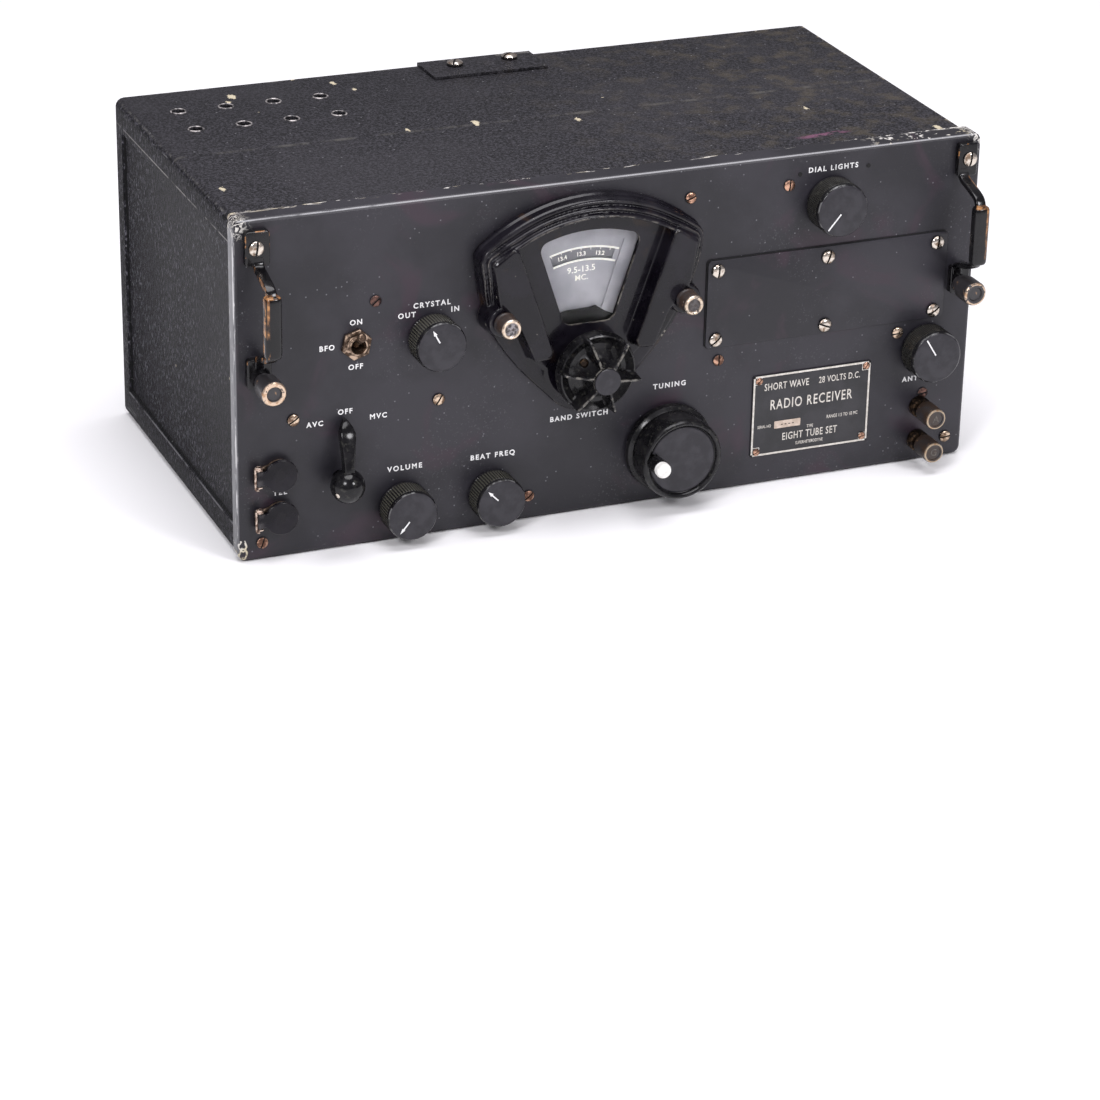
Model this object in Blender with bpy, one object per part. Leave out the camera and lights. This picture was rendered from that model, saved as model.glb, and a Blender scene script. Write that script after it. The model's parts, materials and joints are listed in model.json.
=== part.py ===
"""Vintage tube receiver: a sheet-metal cabinet with a chassis that slides out of its front.

Metres, +Z up. The front faces -Y and the origin is the centre of the cabinet's bottom face.
Front pieces are drawn in the panel's own frame: u to the right, v up and h out of the panel,
with h = 0 on the panel's front face.
"""
import math

import bmesh
import bpy
from mathutils import Matrix, Vector

# ---- driving dimensions -------------------------------------------------------------------
WIDTH = 0.4572            # 18 inches over the front panel
HEIGHT = 0.2037           # 8 inches
DEPTH = 0.2300            # front panel to cabinet rear
SHEET = 0.0015            # cabinet, panel and chassis sheet
GAP = 0.0003              # clearance between touching pieces
CORNER = 0.005            # corner radius of the cabinet's and panel's outline
BEND = 0.002              # radius of the panel's front edge
FRONT_Y = -DEPTH / 2
REAR_Y = DEPTH / 2

SKIN = SHEET + GAP        # how far the cabinet sits inside the panel's flange
BODY_W = WIDTH - 2 * SKIN
BODY_H = HEIGHT - SKIN

# side recesses pressed into the cabinet
RECESS = 0.002
RECESS_TOP, RECESS_BOTTOM, RECESS_REAR, RECESS_FRONT = 0.018, 0.018, 0.011, 0.010

# chassis
DECK_TOP = 0.0615
TRAY_W, TRAY_FRONT, TRAY_REAR = 0.430, -0.080, 0.105
SHAFT = 0.0030
SHAFT_HOLE = 0.0037

# centres of the front controls, (u, v) from the middle of the cabinet's bottom edge
DIAL = (-0.0205, 0.0950)
TUNING = (0.0330, 0.0345)
CRYSTAL = (-0.1131, 0.1213)
VOLUME = (-0.1300, 0.0208)
BEAT_FREQ = (-0.0760, 0.0205)
DIAL_LIGHTS = (0.1321, 0.1724)
ANTENNA = (0.1996, 0.0725)
TOGGLE = (-0.1583, 0.1235)
MODE = (-0.1683, 0.0445)
JACKS = {"upper": (-0.2045, 0.0524), "lower": (-0.2043, 0.0265)}
POSTS = {"a": (0.1978, 0.0360), "g": (0.1978, 0.0144)}
THUMBS = {"left": (-0.2140, 0.1103), "right": (0.2180, 0.1130)}
LAMP_OFFSET = (0.0556, 0.0360)

# gear train: a 12-tooth pinion drives an 84-tooth wheel twice, module 1 mm
MODULE = 0.001
PINION_TEETH, WHEEL_TEETH = 12, 84
MESH = (PINION_TEETH + WHEEL_TEETH) * MODULE / 2
PINION_R = PINION_TEETH * MODULE / 2 - GAP
WHEEL_R = WHEEL_TEETH * MODULE / 2 - GAP
FIRST_STAGE = (-0.0230, -0.0170)      # heights of the two gear planes behind the panel
SECOND_STAGE = (-0.0305, -0.0245)
GANG = (DIAL[0] + WHEEL_TEETH * MODULE, DIAL[1])

# facets round a turned piece
LARGE, MEDIUM, SMALL = 22, 14, 10

FINISHES = {
    "wrinkle_paint": ((0.020, 0.020, 0.023), 0.60, 0.0),
    "panel_paint": ((0.030, 0.029, 0.034), 0.45, 0.0),
    "cast_black": ((0.016, 0.015, 0.014), 0.40, 0.0),
    "bakelite": ((0.012, 0.012, 0.012), 0.30, 0.0),
    "worn_brass": ((0.30, 0.19, 0.10), 0.45, 0.9),
    "nickel": ((0.60, 0.57, 0.53), 0.30, 1.0),
    "aluminium": ((0.55, 0.56, 0.57), 0.45, 0.9),
    "plate_black": ((0.015, 0.015, 0.015), 0.50, 0.0),
    "dial_grey": ((0.23, 0.23, 0.24), 0.55, 0.0),
    "glass": ((0.80, 0.82, 0.82), 0.05, 0.0),
    "tube_metal": ((0.03, 0.03, 0.032), 0.40, 0.6),
    "ivory": ((0.70, 0.68, 0.62), 0.45, 0.0),
}


# ---- modelling tools ----------------------------------------------------------------------
def clear_scene():
    for obj in list(bpy.data.objects):
        bpy.data.objects.remove(obj, do_unlink=True)


def panel_frame(centre, height=0.0):
    """Frame on the front panel: local x right, y up, z out of the panel."""
    place = Matrix.Translation((centre[0], FRONT_Y - height, centre[1]))
    return place @ Matrix.Rotation(math.radians(90), 4, "X")


def upright_frame(x, y, z):
    return Matrix.Translation((x, y, z))


def circle(radius, count, height, centre=(0.0, 0.0)):
    turn = 2 * math.pi / count
    return [(centre[0] + radius * math.cos(i * turn), centre[1] + radius * math.sin(i * turn), height)
            for i in range(count)]


def arc(radius, start, end, steps, centre=(0.0, 0.0)):
    """Points on an arc; angles in degrees, clockwise from straight up."""
    points = []
    for i in range(steps + 1):
        angle = math.radians(start + (end - start) * i / steps)
        points.append((centre[0] + radius * math.sin(angle), centre[1] + radius * math.cos(angle)))
    return points


def rounded(corners, radii, steps=3):
    """Outline with each corner of a polygon replaced by an arc of its radius."""
    outline = []
    count = len(corners)
    for i, radius in enumerate(radii):
        here = Vector(corners[i])
        before = (Vector(corners[i - 1]) - here).normalized()
        after = (Vector(corners[(i + 1) % count]) - here).normalized()
        if radius <= 0:
            outline.append(tuple(here))
            continue
        half = before.angle(after) / 2
        centre = here + (before + after).normalized() * (radius / math.sin(half))
        first = here + before * (radius / math.tan(half)) - centre
        last = here + after * (radius / math.tan(half)) - centre
        sweep = first.angle_signed(last)
        for k in range(steps + 1):
            spin = Matrix.Rotation(-sweep * k / steps, 2)
            outline.append(tuple(centre + spin @ first))
    return outline


def rectangle(u0, v0, u1, v1, radius=0.0, steps=3):
    corners = [(u0, v0), (u1, v0), (u1, v1), (u0, v1)]
    return rounded(corners, [radius] * 4, steps) if radius else corners


def loft(bm, rings, closed=False):
    """Skin rings of equally many points into one closed body."""
    loops = [[bm.verts.new(point) for point in ring] for ring in rings]
    pairs = list(zip(loops, loops[1:]))
    if closed:
        pairs.append((loops[-1], loops[0]))
    for low, high in pairs:
        for i in range(len(low)):
            j = (i + 1) % len(low)
            bm.faces.new((low[i], low[j], high[j], high[i]))
    if not closed:
        bm.faces.new(list(reversed(loops[0])))
        bm.faces.new(loops[-1])


def prism(bm, outline, low, high, top_outline=None):
    top = top_outline or outline
    loft(bm, [[(u, v, low) for u, v in outline], [(u, v, high) for u, v in top]])


def block(bm, low, high):
    prism(bm, rectangle(low[0], low[1], high[0], high[1]), low[2], high[2])


def turned(bm, profile, segments=MEDIUM, centre=(0.0, 0.0)):
    """Body turned about local z from (radius, height) pairs."""
    loft(bm, [circle(r, segments, h, centre) for r, h in profile])


def turned_ring(bm, profile, segments=MEDIUM):
    """As turned, for a closed profile that leaves a bore along the axis."""
    loft(bm, [circle(r, segments, h) for r, h in profile], closed=True)


def add_object(name, bm, frame):
    bmesh.ops.recalc_face_normals(bm, faces=bm.faces)
    mesh = bpy.data.meshes.new(name)
    bm.to_mesh(mesh)
    bm.free()
    obj = bpy.data.objects.new(name, mesh)
    obj.matrix_world = frame
    bpy.context.collection.objects.link(obj)
    return obj


def add_part(name, bm, finish, frame=Matrix.Identity(4), smooth=35):
    obj = add_object(name, bm, frame)
    colour, roughness, metallic = FINISHES[finish]
    material = bpy.data.materials.new(f"{name}_{finish}")
    material.use_nodes = True
    shader = material.node_tree.nodes["Principled BSDF"]
    shader.inputs["Base Color"].default_value = (*colour, 1.0)
    shader.inputs["Roughness"].default_value = roughness
    shader.inputs["Metallic"].default_value = metallic
    obj.data.materials.append(material)
    obj.data.shade_smooth()
    obj.data.set_sharp_from_angle(angle=math.radians(smooth))
    return obj


def add_tool(name, bm, frame=Matrix.Identity(4)):
    """A body that only cuts, or is joined to, another one."""
    obj = add_object(name, bm, frame)
    obj.hide_render = True
    obj.display_type = "WIRE"
    return obj


def combine(obj, tool, operation):
    modifier = obj.modifiers.new(f"{operation}_{tool.name}", "BOOLEAN")
    modifier.object = tool
    modifier.operation = operation
    modifier.solver = "EXACT"


def cut(obj, tool):
    combine(obj, tool, "DIFFERENCE")


def join(obj, tool):
    combine(obj, tool, "UNION")


# ---- cabinet ------------------------------------------------------------------------------
def press_recess(bm, side):
    """Press the shallow panel into the flat side whose outward normal is +X or -X."""
    face = max((f for f in bm.faces if f.normal.x * side > 0.99), key=lambda f: f.calc_area())
    bmesh.ops.inset_individual(bm, faces=[face], thickness=0.004, use_even_offset=True)
    low, high = RECESS_BOTTOM, BODY_H - RECESS_TOP
    front, rear = FRONT_Y + RECESS_FRONT, REAR_Y - RECESS_REAR
    for vert in face.verts:
        vert.co.y = front if vert.co.y < 0 else rear
        vert.co.z = low if vert.co.z < BODY_H / 2 else high
    bmesh.ops.inset_individual(bm, faces=[face], thickness=RECESS, use_even_offset=True)
    for vert in face.verts:
        vert.co.x -= side * RECESS


def cabinet_wrap():
    bm = bmesh.new()
    outline = rectangle(-BODY_W / 2, 0.0, BODY_W / 2, BODY_H, CORNER, 4)
    loops = []
    for y in (FRONT_Y + BEND + 3 * GAP, REAR_Y):
        loops.append([bm.verts.new((x, y, z)) for x, z in outline])
    for i in range(len(outline)):
        j = (i + 1) % len(outline)
        bm.faces.new((loops[0][i], loops[0][j], loops[1][j], loops[1][i]))
    bmesh.ops.recalc_face_normals(bm, faces=bm.faces)
    if sum(f.calc_center_median().z * f.normal.z for f in bm.faces) < 0:
        bmesh.ops.reverse_faces(bm, faces=bm.faces)
    bm.normal_update()
    for side in (-1, 1):
        press_recess(bm, side)
    mesh = bpy.data.meshes.new("cabinet_wrap")
    bm.to_mesh(mesh)
    bm.free()
    wrap = add_part("cabinet_wrap", bmesh.new(), "wrinkle_paint")
    old = wrap.data
    mesh.materials.append(old.materials[0])
    wrap.data = mesh
    mesh.shade_smooth()
    mesh.set_sharp_from_angle(angle=math.radians(30))
    bpy.data.meshes.remove(old)
    sheet = wrap.modifiers.new("sheet", "SOLIDIFY")
    sheet.thickness = SHEET
    sheet.offset = -1
    sheet.use_even_offset = True

    vents = bmesh.new()
    for row in (0.045, 0.079):
        for column in range(4):
            centre = (-0.1990 + 0.0292 * column, row)
            turned(vents, [(0.004, BODY_H - 0.01), (0.004, BODY_H + 0.01)], SMALL, centre)
    cut(wrap, add_tool("vent_cutter", vents))


CONNECTOR = (-0.0580, 0.0220, -0.0020, 0.0480)    # x and z limits of the rear connector


def cabinet_back():
    inset = SHEET + GAP
    bm = bmesh.new()
    outline = rectangle(-BODY_W / 2 + inset, inset, BODY_W / 2 - inset, BODY_H - inset, CORNER - inset)
    prism(bm, outline, 0, SHEET)
    back = add_part("cabinet_back", bm, "wrinkle_paint", panel_frame((0, 0), -(DEPTH - 0.0005)))
    opening = bmesh.new()
    margin = 0.002
    low = (CONNECTOR[0] - margin, REAR_Y - 0.01, CONNECTOR[1] - margin)
    high = (CONNECTOR[2] + margin, REAR_Y + 0.01, CONNECTOR[3] + margin)
    block(opening, low, high)
    cut(back, add_tool("connector_cutter", opening))


def rear_latch_plate():
    """Angle plate screwed over the cabinet's top rear edge."""
    left, right, front = -0.0360, 0.0375, 0.0855
    rear = REAR_Y + GAP
    thick = 0.0015
    bm = bmesh.new()
    block(bm, (left, front, BODY_H + GAP), (right, rear + thick, BODY_H + GAP + thick))
    plate = add_part("rear_latch_plate", bm, "wrinkle_paint")
    leg = bmesh.new()
    block(leg, (left, rear, 0.178), (right, rear + thick, BODY_H + GAP + thick / 2))
    join(plate, add_tool("latch_leg", leg))
    heads = bmesh.new()
    for centre in ((-0.0160, 0.1040), (0.0200, 0.1060)):
        base = BODY_H + GAP + thick / 2
        turned(heads, [(0.0036, base), (0.0036, base + 0.0016), (0.0024, base + 0.0026)], SMALL, centre)
    join(plate, add_tool("latch_screws", heads))


# ---- front panel and what is fixed to it ----------------------------------------------------
def window_outline(grow=0.0, corner=0.004):
    """The dial window: two sloping sides under an arc about the dial's axis."""
    low, slope = 0.025 - grow, 0.333
    lean = math.hypot(1, slope)
    offset = 0.015 - 0.025 * slope + grow * lean
    radius = 0.081 + grow
    a, b, c = 1 + slope ** 2, 2 * offset * slope, offset ** 2 - radius ** 2
    high = (-b + math.sqrt(b * b - 4 * a * c)) / (2 * a)
    top = offset + slope * high
    angle = math.degrees(math.atan2(top, high))
    crown = arc(radius, angle * 0.80, -angle * 0.80, 6)
    right = rounded([(offset + slope * low, low), (top, high), crown[0]], [0, corner, 0], 3)[1:-1]
    left = [(-u, v) for u, v in reversed(right)]
    base = offset + slope * low
    foot = rounded([(-top, high), (-base, low), (base, low), (top, high)], [0, corner, corner, 0], 3)[1:-1]
    return foot + right + crown + left


def front_panel():
    """A shallow pan: flanges on the top and the sides slip over the cabinet's front edge."""
    low = 0.0005
    outlines = []
    for inset, height in ((BEND, 0.0), (BEND * 0.3, -BEND * 0.3), (0.0, -BEND)):
        outline = rectangle(-WIDTH / 2 + inset, low + inset, WIDTH / 2 - inset, HEIGHT - inset,
                            CORNER - inset, 4)
        outlines.append([(u, v, height) for u, v in outline])
    top_depth, side_depth = 0.014, 0.009
    skirt = []
    for u, v, _ in outlines[-1]:
        deep = top_depth if v > HEIGHT - CORNER * 0.5 else side_depth
        skirt.append((u, v, -deep))
    bm = bmesh.new()
    loops = [[bm.verts.new(p) for p in ring] for ring in outlines]
    flange = [bm.verts.new(p) for p in skirt]
    count = len(skirt)
    bm.faces.new(loops[0])
    for upper, lower in zip(loops, loops[1:]):
        for i in range(count):
            bm.faces.new((upper[i], lower[i], lower[(i + 1) % count], upper[(i + 1) % count]))
    for i in range(count):
        j = (i + 1) % count
        if min(skirt[i][1], skirt[j][1]) > low + CORNER * 0.9:
            bm.faces.new((loops[-1][i], flange[i], flange[j], loops[-1][j]))
    for vert in [v for v in bm.verts if not v.link_faces]:
        bm.verts.remove(vert)
    panel = add_part("front_panel", bm, "panel_paint", panel_frame((0, 0)), 25)
    if panel.data.polygons[0].normal.z < 0:
        panel.data.flip_normals()
    sheet = panel.modifiers.new("sheet", "SOLIDIFY")
    sheet.thickness = SHEET
    sheet.offset = -1
    sheet.use_even_offset = True

    holes = bmesh.new()
    depth = (-0.008, 0.004)
    shafts = [TUNING, CRYSTAL, VOLUME, BEAT_FREQ, DIAL_LIGHTS, ANTENNA, MODE, DIAL]
    for centre in shafts + list(THUMBS.values()) + list(POSTS.values()):
        turned(holes, [(0.0044, depth[0]), (0.0044, depth[1])], SMALL, centre)
    for centre, radius in ((TOGGLE, 0.0060), (JACKS["upper"], 0.0052), (JACKS["lower"], 0.0052)):
        turned(holes, [(radius, depth[0]), (radius, depth[1])], SMALL, centre)
    outline = [(DIAL[0] + u, DIAL[1] + v) for u, v in window_outline(0.002)]
    prism(holes, outline, *depth)
    cut(panel, add_tool("panel_cutter", holes, panel_frame((0, 0))))


def handle(side, name, u_low, u_high, v_top, v_foot, grip_u, thumb):
    """Lifting handle: two foot blocks and a strap bent out to a straight grip."""
    reach, thick, width = 0.0300, 0.0050, 0.0096
    base = GAP
    top_block = 0.0200
    foot_block = 0.0170
    v_in, v_out = v_top - top_block + 0.002, v_foot + foot_block - 0.002
    rise = 0.007
    centre_line = [(v_in + 0.004, base + thick / 2), (v_in - rise * 0.3, base + thick / 2),
                   (v_in - rise * 1.4, reach - thick * 0.9), (v_in - rise * 2.1, reach - thick / 2),
                   (v_out + rise * 2.1, reach - thick / 2), (v_out + rise * 1.4, reach - thick * 0.9),
                   (v_out + rise * 0.3, base + thick / 2), (v_out - 0.001, base + thick / 2)]
    points = [Vector(p) for p in centre_line]
    edges = {1: [], -1: []}
    for i, point in enumerate(points):
        ahead = (points[min(i + 1, len(points) - 1)] - point)
        behind = (point - points[max(i - 1, 0)])
        ahead = ahead.normalized() if ahead.length else behind.normalized()
        behind = behind.normalized() if behind.length else ahead
        tangent = (ahead + behind).normalized()
        normal = Vector((-tangent.y, tangent.x))
        scale = 1 / max(0.5, normal.dot(Vector((-ahead.y, ahead.x))))
        for sign in edges:
            edges[sign].append(point + normal * (sign * scale * thick / 2))
    outline = edges[1] + list(reversed(edges[-1]))
    bm = bmesh.new()
    loft(bm, [[(u, p.x, p.y) for p in outline] for u in (grip_u - width / 2, grip_u + width / 2)])
    strap = add_part(name, bm, "cast_black", panel_frame((0, 0)))
    blocks = bmesh.new()
    plate = 0.0045
    prism(blocks, rectangle(u_low, v_top - top_block, u_high, v_top, 0.002), base, plate)
    prism(blocks, rectangle(u_low, v_foot, u_high, v_foot + foot_block, 0.002), base, plate)
    join(strap, add_tool(f"{name}_blocks", blocks, panel_frame((0, 0))))
    screw = bmesh.new()
    screw_centre = ((u_low + u_high) / 2 + side * 0.001, v_top - 0.0095)
    turned(screw, [(0.0042, plate - 0.001), (0.0042, plate + 0.0010), (0.0028, plate + 0.0022)], SMALL,
           screw_centre)
    join(strap, add_tool(f"{name}_screw", screw, panel_frame((0, 0))))
    hole = bmesh.new()
    turned(hole, [(SHAFT_HOLE, -0.002), (SHAFT_HOLE, 0.010)], SMALL, thumb)
    cut(strap, add_tool(f"{name}_hole", hole, panel_frame((0, 0))))


def cheek(bm, side):
    """Raised wing beside the dial window, drafted towards its top."""
    base = [(0.0610, 0.0700), (0.0440, 0.0800), (0.0240, 0.0170), (0.0275, 0.0050), (0.0370, 0.0070)]
    top = [(0.0580, 0.0680), (0.0458, 0.0765), (0.0262, 0.0175), (0.0290, 0.0080), (0.0345, 0.0095)]
    radii = [0.004, 0.003, 0.003, 0.004, 0.003]
    low = rounded(base, radii, 2)
    high = rounded(top, radii, 2)
    if side < 0:
        low = [(-u, v) for u, v in low]
        high = [(-u, v) for u, v in high]
    prism(bm, low, 0.0010, 0.0170, high)


def dial_housing():
    """Casting over the dial: flange, arched visor, two cheeks and two lamp bosses."""
    frame = panel_frame(DIAL)
    side = [(0.0683, 0.0700), (0.0654, 0.0480), (0.0584, 0.0260), (0.0418, 0.0020), (0.0166, -0.0240)]
    corner = rounded([(0.0683, 0.0700), (0.0670, 0.0780), (0.0600, 0.0825)], [0, 0.004, 0], 3)
    right = [corner[-1], *reversed(corner[:-1]), *side[1:]]
    bottom = arc(0.0290, 150, 210, 4)
    outline = arc(0.102, -36, 36, 12) + right + bottom[1:-1] + [(-u, v) for u, v in reversed(right)]
    bm = bmesh.new()
    prism(bm, outline, GAP, 0.0040)
    housing = add_part("dial_housing", bm, "cast_black", frame)

    floor = bmesh.new()
    shape = arc(0.0930, -36, 36, 10) + [(0.0400, 0.0140)] + arc(0.0240, 90, 270, 8) + [(-0.0400, 0.0140)]
    prism(floor, shape, 0.0008, 0.0060)
    join(housing, add_tool("housing_floor", floor, frame))

    section = [(0.0905, 0.0020), (0.0905, 0.0160), (0.0925, 0.0160), (0.0945, 0.0135), (0.0970, 0.0130),
               (0.0985, 0.0120), (0.1000, 0.0105), (0.1005, 0.0020)]
    visor = bmesh.new()
    rings = []
    for i in range(15):
        angle = math.radians(-41 + 82 * i / 14)
        rings.append([(r * math.sin(angle), r * math.cos(angle), h) for r, h in section])
    loft(visor, rings)
    join(housing, add_tool("housing_visor", visor, frame))

    for side_sign, label in ((-1, "left"), (1, "right")):
        wing = bmesh.new()
        cheek(wing, side_sign)
        join(housing, add_tool(f"housing_cheek_{label}", wing, frame))
        boss = bmesh.new()
        centre = (side_sign * LAMP_OFFSET[0], LAMP_OFFSET[1])
        turned(boss, [(0.0098, 0.0012), (0.0088, 0.0150), (0.0078, 0.0160)], MEDIUM, centre)
        join(housing, add_tool(f"housing_boss_{label}", boss, frame))

    openings = bmesh.new()
    prism(openings, window_outline(), -0.002, 0.020)
    turned(openings, [(0.0060, -0.002), (0.0060, 0.020)], MEDIUM)
    for side_sign in (-1, 1):
        centre = (side_sign * LAMP_OFFSET[0], LAMP_OFFSET[1])
        turned(openings, [(0.0036, 0.0050), (0.0036, 0.0200)], SMALL, centre)
    cut(housing, add_tool("housing_cutter", openings, frame))
    pocket = bmesh.new()
    prism(pocket, window_outline(0.0024), -0.002, 0.0045)
    cut(housing, add_tool("glass_pocket", pocket, frame))


def dial_window():
    bm = bmesh.new()
    prism(bm, window_outline(0.0020), 0.0024, 0.0042)
    add_part("dial_window", bm, "glass", panel_frame(DIAL))


def screwed_plate(name, finish, limits, thick, screws, head):
    """Flat plate on the panel, with the heads of its screws."""
    bm = bmesh.new()
    prism(bm, rectangle(*limits, 0.002), GAP, GAP + thick)
    plate = add_part(name, bm, finish, panel_frame((0, 0)))
    heads = bmesh.new()
    for centre in screws:
        face = GAP + thick
        profile = [(head, face - thick / 2), (head, face + head * 0.25), (head * 0.6, face + head * 0.55)]
        turned(heads, profile, SMALL, centre)
    join(plate, add_tool(f"{name}_screws", heads, panel_frame((0, 0))))


def jack(name, centre):
    """Phone jack: hinge plate and threaded bushing in front, contact frame behind the panel."""
    bore = 0.0033
    frame = panel_frame(centre)
    bm = bmesh.new()
    turned_ring(bm, [(bore, -0.0240), (0.0046, -0.0240), (0.0046, 0.0008), (0.0072, 0.0008),
                     (0.0072, 0.0034), (0.0060, 0.0040), (bore, 0.0040)], SMALL)
    body = add_part(name, bm, "nickel", frame)
    plate = bmesh.new()
    outline = arc(0.0085, -45, 225, 7) + [(-0.0145, -0.0040), (-0.0145, 0.0040)]
    prism(plate, outline, GAP, 0.0016)
    join(body, add_tool(f"{name}_plate", plate, frame))
    contacts = bmesh.new()
    block(contacts, (-0.0075, -0.0055, -0.0280), (0.0075, 0.0055, -0.0060))
    join(body, add_tool(f"{name}_contacts", contacts, frame))
    barrel = bmesh.new()
    turned(barrel, [(bore, -0.0262), (bore, 0.0060)], SMALL)
    cut(body, add_tool(f"{name}_bore", barrel, frame))


JACK_PIN = (-0.0130, 0.0050)      # hinge pin of a jack cover: offset to the left, height


def jack_cover(name, centre):
    """Hinged dust cover; its origin is on the vertical hinge pin."""
    frame = panel_frame((centre[0] + JACK_PIN[0], centre[1]), JACK_PIN[1])
    disc = -JACK_PIN[0]
    bm = bmesh.new()
    outline = arc(0.0097, -60, 240, 12, (disc, 0)) + [(0.0004, -0.0042), (0.0004, 0.0042)]
    prism(bm, outline, -0.0006, 0.0010)
    cover = add_part(name, bm, "cast_black", frame)
    knuckle = bmesh.new()
    rings = []
    for v in (-0.0040, 0.0040):
        rings.append([(u, v, height) for u, height, _ in circle(0.0011, 8, 0.0)])
    loft(knuckle, rings)
    join(cover, add_tool(f"{name}_knuckle", knuckle, frame))


def toggle_switch():
    frame = panel_frame(TOGGLE)
    bm = bmesh.new()
    turned(bm, [(0.0085, GAP), (0.0085, 0.0021), (0.0078, 0.0026)], 6)
    body = add_part("toggle_body", bm, "nickel", frame)
    bush = bmesh.new()
    turned(bush, [(0.0056, -0.0060), (0.0056, 0.0034)], SMALL)
    join(body, add_tool("toggle_bush", bush, frame))
    case = bmesh.new()
    block(case, (-0.0090, -0.0140, -0.0220), (0.0090, 0.0140, -0.0040))
    join(body, add_tool("toggle_case", case, frame))
    well = bmesh.new()
    turned(well, [(0.0027, -0.0026), (0.0049, 0.0040)], SMALL)
    cut(body, add_tool("toggle_well", well, frame))

    pivot = 0.0005
    tilt = Matrix.Rotation(math.radians(-38), 4, "X")
    lever = bmesh.new()
    profile = [(0.0008, -0.0017), (0.0017, -0.0010), (0.0017, 0.0006), (0.0013, 0.0020),
               (0.0022, 0.0090), (0.0026, 0.0110), (0.0023, 0.0128), (0.0010, 0.0139)]
    turned(lever, profile, SMALL)
    add_part("toggle_lever", lever, "nickel", panel_frame(TOGGLE, pivot) @ tilt)


def binding_post(label, centre):
    frame = panel_frame(centre)
    base = bmesh.new()
    turned(base, [(0.0030, -0.0100), (0.0030, GAP), (0.0064, GAP), (0.0064, 0.0056), (0.0058, 0.0060),
                  (0.0020, 0.0060), (0.0020, 0.0180)], SMALL)
    add_part(f"post_base_{label}", base, "worn_brass", frame)
    cap = bmesh.new()
    turned(cap, [(0.0050, 0.0088), (0.0064, 0.0096), (0.0064, 0.0234), (0.0058, 0.0240)])
    cap_part = add_part(f"post_cap_{label}", cap, "worn_brass", frame)
    bore = bmesh.new()
    turned(bore, [(0.0024, 0.0080), (0.0024, 0.0210)], SMALL)
    cut(cap_part, add_tool(f"post_cap_{label}_bore", bore, frame))


# ---- turning controls -----------------------------------------------------------------------
def plain_knob(name, centre, radius, shaft_end, angle):
    """Pointer knob on its shaft; angle is where its pointer aims, clockwise from up."""
    bm = bmesh.new()
    turned(bm, [(SHAFT, shaft_end), (SHAFT, 0.0012), (radius * 0.97, 0.0012), (radius, 0.0025),
                (radius * 0.985, 0.0148), (radius * 0.94, 0.0163), (radius * 0.86, 0.0170)])
    spin = Matrix.Rotation(math.radians(-angle), 4, "Z")
    add_part(name, bm, "bakelite", panel_frame(centre) @ spin)


def band_switch_knob():
    """Six-finned knob on the band switch's long shaft."""
    count = 36
    fin_top, fin_foot = 0.0225, 0.0092

    def star(outer, height):
        ring = []
        for i in range(count):
            turn = 2 * math.pi * i / count
            lobe = max(0.0, math.cos(3 * turn)) ** 6 + max(0.0, -math.cos(3 * turn)) ** 6
            radius = fin_foot + (outer - fin_foot) * lobe
            ring.append((radius * math.sin(turn), radius * math.cos(turn), height))
        return ring

    def disc(radius, height):
        return [(v, u, height) for u, v, _ in circle(radius, count, height)]

    bm = bmesh.new()
    skirt = [disc(SHAFT, -0.0447), disc(SHAFT, 0.0150), disc(0.0225, 0.0150), disc(0.0245, 0.0170),
             disc(0.0240, 0.0200)]
    fins = [star(0.0232, 0.0215), star(fin_top, 0.0290), star(fin_top * 0.92, 0.0310)]
    hub = [disc(0.0078, 0.0320), disc(0.0078, 0.0352), disc(0.0070, 0.0360)]
    loft(bm, skirt + fins + hub)
    spin = Matrix.Rotation(math.radians(5), 4, "Z")
    add_part("band_switch_knob", bm, "bakelite", panel_frame(DIAL) @ spin)


BANDS = 6
SHOWN_BAND = 4


def band_mask():
    """Disc with one arc slot for each band, each at its own radius."""
    bm = bmesh.new()
    turned_ring(bm, [(0.0034, -0.0031), (0.0760, -0.0031), (0.0760, -0.0023), (0.0034, -0.0023)], LARGE)
    mask = add_part("band_mask", bm, "dial_grey", panel_frame(DIAL))
    slots = bmesh.new()
    for band in range(BANDS):
        radius = 0.040 + 0.006 * band
        middle = 60 * (SHOWN_BAND - band)
        outer = arc(radius + 0.0033, middle - 20, middle + 20, 4)
        inner = arc(radius - 0.0033, middle + 20, middle - 20, 4)
        prism(slots, outer + inner, -0.005, 0.0)
    cut(mask, add_tool("mask_slots", slots, panel_frame(DIAL)))


def dial_disc():
    """Dial on a sleeve round the band switch's shaft, with its gear behind."""
    bore, sleeve = 0.0034, 0.0052
    low, high = SECOND_STAGE
    bm = bmesh.new()
    gear = [(sleeve, low), (WHEEL_R, low), (WHEEL_R, high), (sleeve, high)]
    disc = [(sleeve, -0.0048), (0.0740, -0.0048), (0.0740, -0.0038)]
    turned_ring(bm, [(bore, -0.0038), (bore, low - 0.0010), (sleeve, low - 0.0010), *gear, *disc], LARGE)
    add_part("dial_disc", bm, "plate_black", panel_frame(DIAL))


def idler_centre():
    """Where both meshes of the gear train close: the lower left of the two solutions."""
    start, end = Vector(TUNING), Vector(DIAL)
    half = (end - start) / 2
    side = Vector((-half.y, half.x)).normalized()
    return start + half + side * math.sqrt(MESH ** 2 - half.length ** 2)


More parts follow.
